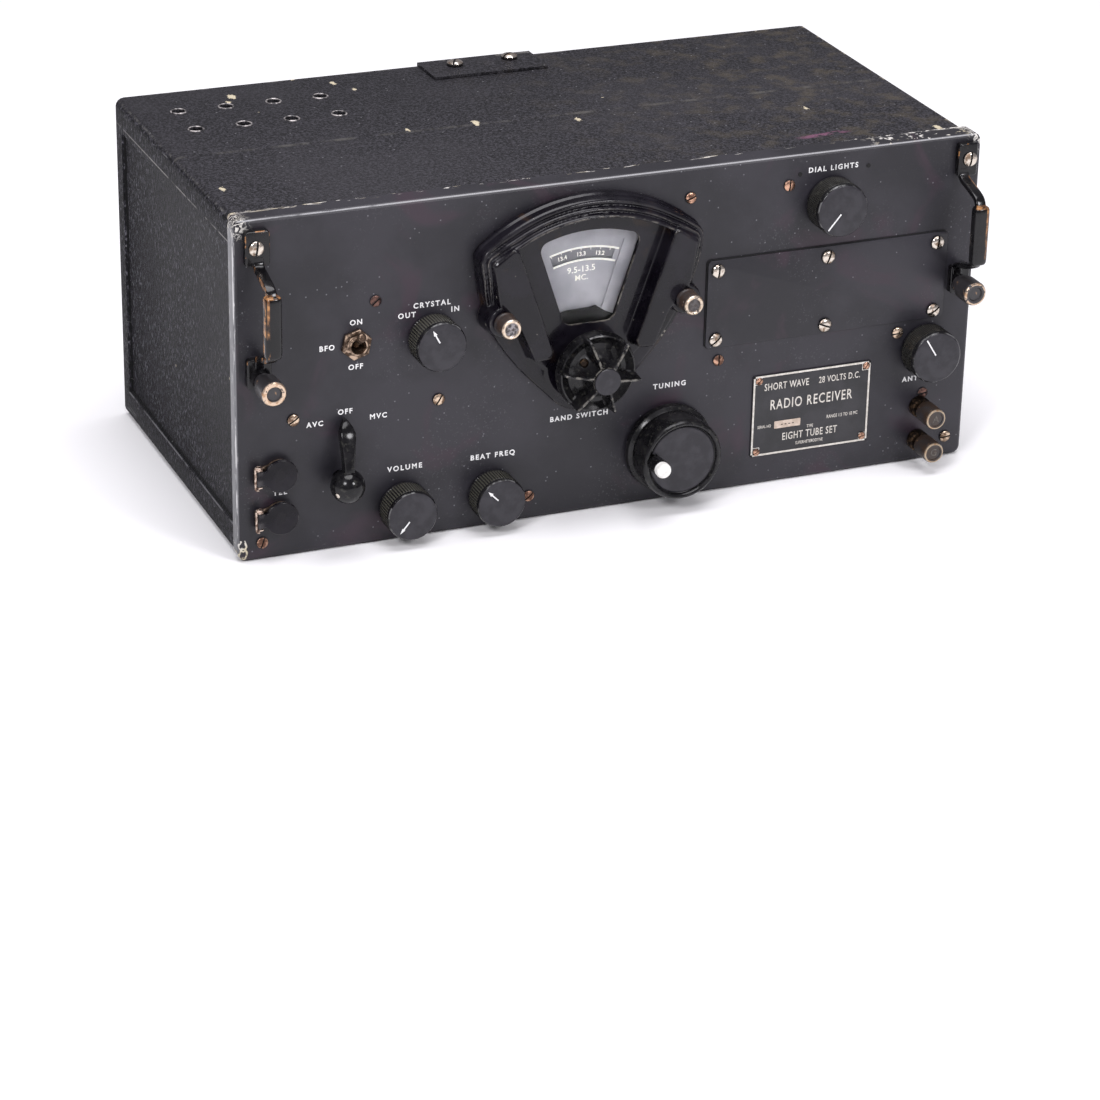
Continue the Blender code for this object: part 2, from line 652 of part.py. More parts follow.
def idler_gear():
    low, high = FIRST_STAGE
    pin_low, pin_high = SECOND_STAGE
    bm = bmesh.new()
    turned(bm, [(0.0025, -0.0335), (0.0025, pin_low), (PINION_R, pin_low), (PINION_R, pin_high),
                (0.0040, pin_high), (0.0040, low), (WHEEL_R, low), (WHEEL_R, high), (0.0025, high),
                (0.0025, high + 0.003)], LARGE)
    add_part("idler_gear", bm, "worn_brass", panel_frame(idler_centre()))


CRANK = (-0.0185, 0.0020)         # crank spinner's axis, from the tuning knob's centre


def tuning_knob():
    low, high = FIRST_STAGE
    bm = bmesh.new()
    turned(bm, [(SHAFT, -0.0310), (SHAFT, low), (PINION_R, low), (PINION_R, high), (SHAFT, high),
                (SHAFT, 0.0015), (0.0262, 0.0015), (0.0270, 0.0030), (0.0266, 0.0062), (0.0246, 0.0075),
                (0.0248, 0.0215), (0.0240, 0.0240), (0.0226, 0.0250), (0.0210, 0.0244), (0.0202, 0.0236),
                (0.0060, 0.0236)], LARGE)
    knob = add_part("tuning_knob", bm, "bakelite", panel_frame(TUNING))
    seat = bmesh.new()
    turned(seat, [(0.0042, 0.0200), (0.0042, 0.0300)], SMALL, CRANK)
    cut(knob, add_tool("crank_seat", seat, panel_frame(TUNING)))


def crank_spinner():
    centre = (TUNING[0] + CRANK[0], TUNING[1] + CRANK[1])
    bm = bmesh.new()
    turned(bm, [(0.0030, 0.0204), (0.0030, 0.0252), (0.0046, 0.0256), (0.0050, 0.0270), (0.0048, 0.0380),
                (0.0044, 0.0395), (0.0034, 0.0400)], SMALL)
    add_part("crank_spinner", bm, "ivory", panel_frame(centre))


def mode_lever():
    """AVC-OFF-MVC lever: ball hub and a bar that tapers to a pointer on the panel."""
    frame = panel_frame(MODE) @ Matrix.Rotation(math.radians(-3.7), 4, "Z")
    radius, middle = 0.0098, 0.0140
    profile = [(SHAFT, -0.0150), (SHAFT, middle - radius * 0.93)]
    for i in range(1, 7):
        angle = math.radians(-68 + 25 * i)
        profile.append((max(0.001, radius * math.cos(angle)), middle + radius * math.sin(angle)))
    hub = bmesh.new()
    turned(hub, profile, MEDIUM)
    lever = add_part("mode_lever", hub, "bakelite", frame)
    sections = ((0.0000, 0.0036, 0.0105, 0.0180), (0.0120, 0.0036, 0.0092, 0.0158),
                (0.0295, 0.0050, 0.0055, 0.0105), (0.0335, 0.0028, 0.0030, 0.0080),
                (0.0362, 0.0007, 0.0014, 0.0028))
    bar = bmesh.new()
    loft(bar, [[(-half, v, low), (half, v, low), (half, v, high), (-half, v, high)]
               for v, half, low, high in sections])
    join(lever, add_tool("mode_lever_bar", bar, frame))


def thumb_screw(label, centre):
    bm = bmesh.new()
    turned(bm, [(SHAFT, -0.0110), (SHAFT, 0.0048), (0.0052, 0.0048), (0.0052, 0.0100), (0.0066, 0.0108),
                (0.0073, 0.0116), (0.0073, 0.0228), (0.0062, 0.0245)], SMALL)
    add_part(f"thumb_screw_{label}", bm, "worn_brass", panel_frame(centre))


def lamp_cap(label, side):
    centre = (DIAL[0] + side * LAMP_OFFSET[0], DIAL[1] + LAMP_OFFSET[1])
    bm = bmesh.new()
    turned(bm, [(0.0032, 0.0060), (0.0032, 0.0163), (0.0066, 0.0163), (0.0066, 0.0185), (0.0060, 0.0192),
                (0.0060, 0.0268), (0.0052, 0.0278)], SMALL)
    add_part(f"lamp_cap_{label}", bm, "worn_brass", panel_frame(centre))


# ---- chassis and works ------------------------------------------------------------------------
def chassis_tray():
    half = TRAY_W / 2
    foot = 0.0022
    bm = bmesh.new()
    block(bm, (-half, TRAY_FRONT, foot), (half, TRAY_REAR, DECK_TOP))
    tray = add_part("chassis_tray", bm, "aluminium")
    hollow = bmesh.new()
    inside = half - SHEET
    block(hollow, (-inside, TRAY_FRONT + SHEET, foot - 0.01), (inside, TRAY_REAR - SHEET, DECK_TOP - SHEET))
    cut(tray, add_tool("tray_hollow", hollow))
    wings = bmesh.new()
    for side in (-1, 1):
        left, right = sorted((side * half, side * inside))
        front, rear = FRONT_Y + SHEET + GAP, TRAY_FRONT + SHEET / 2
        block(wings, (left, front, 0.006), (right, rear, DECK_TOP - 0.0004))
    join(tray, add_tool("tray_wings", wings))
    hole = bmesh.new()
    turned(hole, [(SHAFT_HOLE, -0.050), (SHAFT_HOLE, -0.020)], SMALL, BEAT_FREQ)
    turned(hole, [(0.0050, -0.050), (0.0050, -0.020)], SMALL, idler_centre())
    cut(tray, add_tool("tray_shaft_hole", hole, panel_frame((0, 0))))


def gear_plate():
    """Plate that carries the arbors of the gear train, in front of the chassis."""
    bm = bmesh.new()
    prism(bm, rectangle(-0.0620, 0.0120, 0.0920, 0.1280, 0.006), -0.0342, -0.0327)
    plate = add_part("gear_plate", bm, "aluminium", panel_frame((0, 0)))
    holes = bmesh.new()
    for centre in (DIAL, GANG, idler_centre()):
        turned(holes, [(SHAFT_HOLE, -0.040), (SHAFT_HOLE, -0.030)], SMALL, centre)
    cut(plate, add_tool("gear_plate_holes", holes, panel_frame((0, 0))))


GANG_FRONT, GANG_REAR = -0.0760, 0.0320
GANG_HALF, GANG_TOP = 0.0275, 0.1200


def gang_frame():
    """Frame of the tuning capacitor, open at the top."""
    wall = 0.0020
    low = DECK_TOP + GAP
    left, right = GANG[0] - GANG_HALF, GANG[0] + GANG_HALF
    bm = bmesh.new()
    block(bm, (left, GANG_FRONT, low), (right, GANG_REAR, GANG_TOP))
    frame = add_part("gang_frame", bm, "aluminium")
    hollow = bmesh.new()
    front, rear = GANG_FRONT + wall, GANG_REAR - wall
    block(hollow, (left + wall, front, low + wall), (right - wall, rear, GANG_TOP + 0.01))
    cut(frame, add_tool("gang_hollow", hollow))
    sides = bmesh.new()
    block(sides, (left - 0.01, front + wall, GANG[1] - 0.004), (right + 0.01, rear - wall, GANG_TOP + 0.02))
    cut(frame, add_tool("gang_sides", sides))
    bearings = bmesh.new()
    turned(bearings, [(SHAFT_HOLE, -0.16), (SHAFT_HOLE, -0.02)], SMALL, GANG)
    cut(frame, add_tool("gang_bearings", bearings, panel_frame((0, 0))))


def gang_rotor():
    """Rotor of the tuning capacitor: gear, shaft and four packs of half-round plates."""
    low, high = SECOND_STAGE
    tail = -(GANG_REAR - FRONT_Y) - 0.003
    frame = panel_frame(GANG)
    bm = bmesh.new()
    gear = [(SHAFT, low), (WHEEL_R, low), (WHEEL_R, high), (SHAFT, high)]
    turned(bm, [(SHAFT, tail), *gear, (SHAFT, high + 0.003)], LARGE)
    rotor = add_part("gang_rotor", bm, "aluminium", frame)
    plates = bmesh.new()
    pitch, pack = 0.0250, 0.0160
    first = -(GANG_FRONT - FRONT_Y) - 0.0070
    for i in range(4):
        top = first - i * pitch
        outline = arc(0.0220, -90, 90, 8) + [(0.0040, -0.0035), (-0.0040, -0.0035)]
        prism(plates, outline, top - pack, top)
    join(rotor, add_tool("rotor_plates", plates, frame))


def screening_can(name, finish, limits, height, low=DECK_TOP + GAP, corner=0.004):
    edge = 0.0015
    x0, y0, x1, y1 = limits
    outline = rectangle(x0, y0, x1, y1, corner)
    crown = rectangle(x0 + edge, y0 + edge, x1 - edge, y1 - edge, corner * 0.7)
    bm = bmesh.new()
    loft(bm, [[(x, y, low) for x, y in outline], [(x, y, low + height - edge) for x, y in outline],
              [(x, y, low + height) for x, y in crown]])
    add_part(name, bm, finish)


METAL_TUBE = [(0.0150, 0.0), (0.0160, 0.0020), (0.0160, 0.0090), (0.0124, 0.0110), (0.0124, 0.0620),
              (0.0105, 0.0660), (0.0046, 0.0680), (0.0046, 0.0760), (0.0030, 0.0775)]
GLASS_TUBE = [(0.0150, 0.0), (0.0165, 0.0020), (0.0165, 0.0200), (0.0150, 0.0220), (0.0165, 0.0300),
              (0.0218, 0.0450), (0.0225, 0.0550), (0.0200, 0.0670), (0.0160, 0.0740), (0.0150, 0.0860),
              (0.0110, 0.0930), (0.0040, 0.0960)]
METAL_TUBES = [(-0.1900, -0.0540), (-0.1545, -0.0540), (-0.1500, -0.0050), (-0.1900, 0.0470),
               (-0.1100, 0.0470), (-0.0450, 0.0740), (0.0050, 0.0740)]
GLASS_TUBE_PLACE = (0.0640, 0.0700)
IF_CANS = [(-0.1900, -0.0050), (-0.1100, -0.0050), (-0.1500, 0.0470)]


def tubes():
    for i, (x, y) in enumerate(METAL_TUBES):
        bm = bmesh.new()
        turned(bm, METAL_TUBE, SMALL)
        add_part(f"tube_{i + 1}", bm, "tube_metal", upright_frame(x, y, DECK_TOP + GAP))
    bm = bmesh.new()
    turned(bm, GLASS_TUBE, MEDIUM)
    add_part("tube_8", bm, "glass", upright_frame(*GLASS_TUBE_PLACE, DECK_TOP + GAP))


DYNAMOTOR = (0.1650, 0.0320, 0.1065)     # middle of the dynamotor's axis, which runs front to back


def dynamotor():
    radius, half, wall, hole = 0.0380, 0.0580, 0.0030, 0.0090
    edge, fillet = 0.006, 0.004
    frame = Matrix.Translation(DYNAMOTOR) @ Matrix.Rotation(math.radians(90), 4, "X")
    bm = bmesh.new()
    inner, inner_half = radius - wall, half - wall
    outside = [(hole, -half), (radius - edge, -half), (radius, -half + edge), (radius, half - edge),
               (radius - edge, half), (hole, half)]
    inside = [(hole, inner_half), (inner - fillet, inner_half), (inner, inner_half - fillet),
              (inner, -inner_half + fillet), (inner - fillet, -inner_half), (hole, -inner_half)]
    turned_ring(bm, outside + inside, LARGE)
    housing = add_part("dynamotor_housing", bm, "cast_black", frame)
    foot = bmesh.new()
    low, top = DECK_TOP + GAP, DYNAMOTOR[2] - radius + wall * 0.6
    x, y, _ = DYNAMOTOR
    block(foot, (x - 0.026, y - 0.040, low), (x + 0.026, y + 0.040, top))
    join(housing, add_tool("dynamotor_foot", foot))
    armature = bmesh.new()
    half_profile = [(0.0290, 0.0320), (0.0140, 0.0330), (0.0140, 0.0490), (0.0040, 0.0500),
                    (0.0040, 0.0660)]
    turned(armature, [(r, -h) for r, h in reversed(half_profile)] + half_profile)
    add_part("dynamotor_armature", armature, "nickel", frame)


def output_transformer():
    bm = bmesh.new()
    block(bm, (0.1080, -0.0730, DECK_TOP + GAP), (0.1560, -0.0400, DECK_TOP + 0.0480))
    core = add_part("output_transformer", bm, "cast_black")
    winding = bmesh.new()
    block(winding, (0.1180, -0.0760, DECK_TOP + 0.0090), (0.1460, -0.0360, DECK_TOP + 0.0400))
    join(core, add_tool("transformer_winding", winding))


def rear_connector():
    bm = bmesh.new()
    block(bm, (CONNECTOR[0], TRAY_REAR + GAP, CONNECTOR[1]), (CONNECTOR[2], REAR_Y - 0.0004, CONNECTOR[3]))
    add_part("rear_connector", bm, "bakelite")


def rotary_case(name, centre, radius, depth):
    """Round case of a control, on the back of the panel."""
    bm = bmesh.new()
    turned(bm, [(radius - 0.001, -depth), (radius, -depth + 0.001), (radius, -0.0040), (0.0042, -0.0030),
                (0.0042, -SHEET - GAP)])
    case = add_part(name, bm, "bakelite", panel_frame(centre))
    bore = bmesh.new()
    turned(bore, [(SHAFT + 0.0004, -depth + 0.004), (SHAFT + 0.0004, 0.004)], SMALL)
    cut(case, add_tool(f"{name}_bore", bore, panel_frame(centre)))


def build():
    clear_scene()
    cabinet_wrap()
    cabinet_back()
    rear_latch_plate()
    front_panel()
    handle(-1, "handle_left", -0.2248, -0.2068, 0.1980, 0.1065, -0.2155, THUMBS["left"])
    handle(1, "handle_right", 0.2100, 0.2262, 0.1995, 0.1070, 0.2160, THUMBS["right"])
    dial_housing()
    dial_window()
    cover_screws = [(u, v) for u in (0.0613, 0.1315, 0.2027) for v in (0.0970, 0.1395)]
    cover_limits = (0.0552, 0.0920, 0.2095, 0.1457)
    screwed_plate("cover_plate", "panel_paint", cover_limits, 0.0016, cover_screws, 0.0036)
    name_screws = [(0.0910, 0.0215), (0.0908, 0.0665), (0.1602, 0.0222), (0.1606, 0.0670)]
    screwed_plate("nameplate", "plate_black", (0.0874, 0.0187, 0.1639, 0.0699), 0.0010, name_screws, 0.0022)
    for label, centre in JACKS.items():
        jack(f"jack_{label}", centre)
        jack_cover(f"jack_cover_{label}", centre)
    toggle_switch()
    for label, centre in POSTS.items():
        binding_post(label, centre)
    plain_knob("crystal_knob", CRYSTAL, 0.0150, -0.0365, -28)
    plain_knob("volume_knob", VOLUME, 0.0152, -0.0100, -140)
    plain_knob("beat_freq_knob", BEAT_FREQ, 0.0150, -0.0385, -45)
    plain_knob("dial_lights_knob", DIAL_LIGHTS, 0.0162, -0.0100, -140)
    plain_knob("antenna_knob", ANTENNA, 0.0162, -0.0150, -32)
    band_switch_knob()
    band_mask()
    dial_disc()
    idler_gear()
    tuning_knob()
    crank_spinner()
    mode_lever()
    for label, centre in THUMBS.items():
        thumb_screw(label, centre)
    lamp_cap("left", -1)
    lamp_cap("right", 1)
    rotary_case("volume_control", VOLUME, 0.0125, 0.0180)
    rotary_case("dimmer_rheostat", DIAL_LIGHTS, 0.0160, 0.0200)
    chassis_tray()
    gear_plate()
    gang_frame()
    gang_rotor()
    screening_can("coil_box", "aluminium", (-0.0620, -0.0700, 0.0220, 0.0450), 0.0620)
    screening_can("crystal_can", "aluminium", (-0.1345, -0.0780, -0.0915, -0.0350), 0.0780)
    screening_can("bfo_can", "aluminium", (-0.0950, -0.0760, -0.0570, -0.0360), 0.0400, 0.0080, 0.003)
    for i, (x, y) in enumerate(IF_CANS):
        half = 0.0175
        screening_can(f"if_can_{i + 1}", "aluminium", (x - half, y - half, x + half, y + half), 0.0880)
    tubes()
    dynamotor()
    output_transformer()
    rear_connector()


build()
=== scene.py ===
"""Looks of the vintage tube receiver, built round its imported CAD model.

Metres, +Z up, front towards -Y. Front pieces are drawn in the panel's own frame, as the CAD draws
them: u to the right, v up and h out of the panel, with h = 0 on the panel's front face.
"""
import json
import math
import random

import bmesh
import bpy
from mathutils import Matrix, Vector


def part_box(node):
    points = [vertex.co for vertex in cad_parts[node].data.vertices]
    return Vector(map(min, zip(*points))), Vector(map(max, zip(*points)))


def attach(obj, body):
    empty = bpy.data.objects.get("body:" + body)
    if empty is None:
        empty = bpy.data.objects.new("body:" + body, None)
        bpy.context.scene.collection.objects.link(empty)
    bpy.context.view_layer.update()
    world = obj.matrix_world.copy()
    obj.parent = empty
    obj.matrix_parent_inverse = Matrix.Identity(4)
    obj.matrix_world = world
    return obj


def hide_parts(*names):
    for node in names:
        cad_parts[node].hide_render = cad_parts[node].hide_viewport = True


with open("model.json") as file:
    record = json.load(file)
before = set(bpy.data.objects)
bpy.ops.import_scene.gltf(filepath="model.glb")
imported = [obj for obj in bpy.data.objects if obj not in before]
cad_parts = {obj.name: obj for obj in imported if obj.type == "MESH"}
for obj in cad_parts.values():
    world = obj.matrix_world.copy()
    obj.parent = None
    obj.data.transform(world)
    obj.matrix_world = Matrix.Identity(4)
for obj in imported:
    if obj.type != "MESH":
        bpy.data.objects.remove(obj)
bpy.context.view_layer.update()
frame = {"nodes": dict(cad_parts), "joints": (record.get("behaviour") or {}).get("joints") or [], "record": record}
chance = random.Random(11)

# ---- places read from the frame -----------------------------------------------------------
PANEL_LOW, PANEL_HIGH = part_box("front_panel")
WRAP_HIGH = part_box("cabinet_wrap")[1]
FACE = PANEL_LOW.y                     # the panel's front face
HALF = PANEL_HIGH.x                    # half the panel's width
CREST = PANEL_HIGH.z                   # top of the panel's flange
GAP = 0.0003                           # between the panel and what is mounted on it
SHAFT = 0.0030                         # radius of the control shafts
BODY_OF = {}
for body_name, members in frame["record"]["behaviour"]["bodies"].items():
    for member in members:
        BODY_OF[member] = body_name
AXIS = {}                              # a body's joint axis, as (u, v) on the panel
for joint in frame["joints"]:
    if joint["type"] == "hinge":
        AXIS[joint["child"]] = (joint["pos_m"][0], joint["pos_m"][2])
DIAL = AXIS["band_selector"]


def middle(node):
    """Centre of a node's box, as (u, v) on the panel."""
    low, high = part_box(node)
    return ((low.x + high.x) / 2, (low.z + high.z) / 2)


# ---- mesh tools ---------------------------------------------------------------------------
def panel_frame(centre, height=0.0):
    """Frame on the front panel: local x right, y up, z out of the panel."""
    place = Matrix.Translation((centre[0], FACE - height, centre[1]))
    return place @ Matrix.Rotation(math.radians(90), 4, "X")


def turned_frame(centre, angle):
    """Panel frame turned so that its y axis aims at an angle, in degrees clockwise from up."""
    return panel_frame(centre) @ Matrix.Rotation(math.radians(-angle), 4, "Z")


def circle(radius, count, height, centre=(0.0, 0.0)):
    turn = 2 * math.pi / count
    return [(centre[0] + radius * math.cos(i * turn), centre[1] + radius * math.sin(i * turn), height)
            for i in range(count)]


def arc(radius, start, end, steps, centre=(0.0, 0.0)):
    """Points on an arc; angles in degrees, clockwise from straight up."""
    points = []
    for i in range(steps + 1):
        angle = math.radians(start + (end - start) * i / steps)
        points.append((centre[0] + radius * math.sin(angle), centre[1] + radius * math.cos(angle)))
    return points


def rounded(corners, radii, steps=5):
    """Outline with each corner of a polygon replaced by an arc of its radius."""
    outline = []
    count = len(corners)
    for i, radius in enumerate(radii):
        here = Vector(corners[i])
        before = (Vector(corners[i - 1]) - here).normalized()
        after = (Vector(corners[(i + 1) % count]) - here).normalized()
        if radius <= 0:
            outline.append(tuple(here))
            continue
        half = before.angle(after) / 2
        centre = here + (before + after).normalized() * (radius / math.sin(half))
        first = here + before * (radius / math.tan(half)) - centre
        last = here + after * (radius / math.tan(half)) - centre
        sweep = first.angle_signed(last)
        for k in range(steps + 1):
            outline.append(tuple(centre + Matrix.Rotation(-sweep * k / steps, 2) @ first))
    return outline


def rectangle(u0, v0, u1, v1, radius=0.0, steps=4):
    corners = [(u0, v0), (u1, v0), (u1, v1), (u0, v1)]
    return rounded(corners, [radius] * 4, steps) if radius else corners


def inset(outline, distance):
    """Outline moved inwards; the outline runs anticlockwise."""
    moved = []
    count = len(outline)
    for i, point in enumerate(outline):
        before = Vector(point) - Vector(outline[i - 1])
        after = Vector(outline[(i + 1) % count]) - Vector(point)
        tangent = (before.normalized() + after.normalized()).normalized()
        moved.append((point[0] - tangent.y * distance, point[1] + tangent.x * distance))
    return moved


def mirrored(outline):
    return [(-u, v) for u, v in reversed(outline)]


def area(outline):
    total = 0.0
    for (a, b), (c, d) in zip(outline, outline[1:] + outline[:1]):
        total += a * d - b * c
    return total / 2


def anticlockwise(outline):
    return outline if area(outline) > 0 else list(reversed(outline))


def loft(bm, rings, closed=False):
    """Skin rings of equally many points into one closed body."""
    loops = [[bm.verts.new(point) for point in ring] for ring in rings]
    pairs = list(zip(loops, loops[1:]))
    if closed:
        pairs.append((loops[-1], loops[0]))
    faces = []
    for low, high in pairs:
        for i in range(len(low)):
            j = (i + 1) % len(low)
            faces.append(bm.faces.new((low[i], low[j], high[j], high[i])))
    if not closed:
        faces.append(bm.faces.new(list(reversed(loops[0]))))
        faces.append(bm.faces.new(loops[-1]))
    return faces


def prism(bm, outline, low, high, edge=0.0, steps=2):
    """Straight body on an outline, its top edge rounded by edge."""
    outline = anticlockwise(outline)
    rings = [[(u, v, low) for u, v in outline]]
    if not edge:
        rings.append([(u, v, high) for u, v in outline])
    else:
        for k in range(steps + 1):
            angle = math.pi / 2 * k / steps
            ring = inset(outline, edge * (1 - math.cos(angle)))
            rings.append([(u, v, high - edge + edge * math.sin(angle)) for u, v in ring])
    return loft(bm, rings)


def block(bm, low, high):
    return prism(bm, rectangle(low[0], low[1], high[0], high[1]), low[2], high[2])


def turned(bm, profile, segments=48, centre=(0.0, 0.0)):
    """Body turned about local z from (radius, height) pairs."""
    return loft(bm, [circle(r, segments, h, centre) for r, h in profile])


def turned_ring(bm, profile, segments=48):
    return loft(bm, [circle(r, segments, h) for r, h in profile], closed=True)


def smooth_path(points, steps=8):
    """Catmull-Rom curve through a few points."""
    points = [Vector(p) for p in points]
    ends = [2 * points[0] - points[1], *points, 2 * points[-1] - points[-2]]
    path = []
    for i in range(1, len(ends) - 2):
        p0, p1, p2, p3 = ends[i - 1:i + 3]
        for k in range(steps):
            t = k / steps
            path.append(0.5 * (2 * p1 + (p2 - p0) * t + (2 * p0 - 5 * p1 + 4 * p2 - p3) * t * t
                               + (3 * p1 - p0 - 3 * p2 + p3) * t ** 3))
    return path + [points[-1]]


def evaluated(obj):
    """Bake an object's modifiers into its mesh."""
    bpy.context.view_layer.update()
    graph = bpy.context.evaluated_depsgraph_get()
    mesh = bpy.data.meshes.new_from_object(obj.evaluated_get(graph))
    obj.modifiers.clear()
    obj.data = mesh
    return obj


def new_object(name, bm, place=Matrix.Identity(4)):
    bmesh.ops.recalc_face_normals(bm, faces=bm.faces)
    mesh = bpy.data.meshes.new(name)
    bm.to_mesh(mesh)
    bm.free()
    obj = bpy.data.objects.new(name, mesh)
    obj.matrix_world = place
    bpy.context.collection.objects.link(obj)
    return obj


def boolean(obj, bm, operation="DIFFERENCE", place=None, overlapping=False):
    """Cut a body with another one, or join them; overlapping says that the first one crosses itself."""
    tool = new_object("tool", bm, place or obj.matrix_world.copy())
    modifier = obj.modifiers.new("boolean", "BOOLEAN")
    modifier.object = tool
    modifier.operation = operation
    modifier.solver = "EXACT"
    modifier.use_self = overlapping
    evaluated(obj)
    bpy.data.objects.remove(tool)


def fuse(obj, voxel, rounds):
    """Melt overlapping bodies into one skin with softened edges, as a casting or moulding has."""
    remesh = obj.modifiers.new("remesh", "REMESH")
    remesh.mode = "VOXEL"
    remesh.voxel_size = voxel
    soften = obj.modifiers.new("soften", "SMOOTH")
    soften.factor = 0.5
    soften.iterations = rounds
    evaluated(obj)


def finish_piece(obj, material, body, replaces=(), angle=35):
    obj.data.materials.clear()
    obj.data.materials.append(material)
    obj.data.shade_smooth()
    obj.data.set_sharp_from_angle(angle=math.radians(angle))
    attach(obj, body)
    if replaces:
        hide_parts(*replaces)
    return obj


def piece(name, bm, place, material, body, replaces=(), angle=35):
    return finish_piece(new_object(name, bm, place), material, body, replaces, angle)


def turned_piece(name, profile, segments, place, material, body, replaces=(), angle=35):
    bm = bmesh.new()
    turned(bm, profile, segments)
    return piece(name, bm, place, material, body, replaces, angle)


def flat_piece(name, outline, low, high, edge, place, material, body, replaces=(), angle=35):
    bm = bmesh.new()
    prism(bm, outline, low, high, edge)
    return piece(name, bm, place, material, body, replaces, angle)


def bore(obj, profile, segments, centre=(0.0, 0.0), overlapping=False):
    """Cut a turned hole into a body."""
    tool = bmesh.new()
    turned(tool, profile, segments, centre)
    boolean(obj, tool, overlapping=overlapping)


def knurled(bm, profile, count, depth):
    """Body turned from (radius, height, ribbed) rows; in ribbed rows every second point sits deeper."""
    rings = []
    for radius, height, ribbed in profile:
        ring = []
        for i in range(count):
            turn = 2 * math.pi * i / count
            local = radius - (depth if ribbed and i % 2 else 0.0)
            ring.append((local * math.cos(turn), local * math.sin(turn), height))
        rings.append(ring)
    loft(bm, rings)


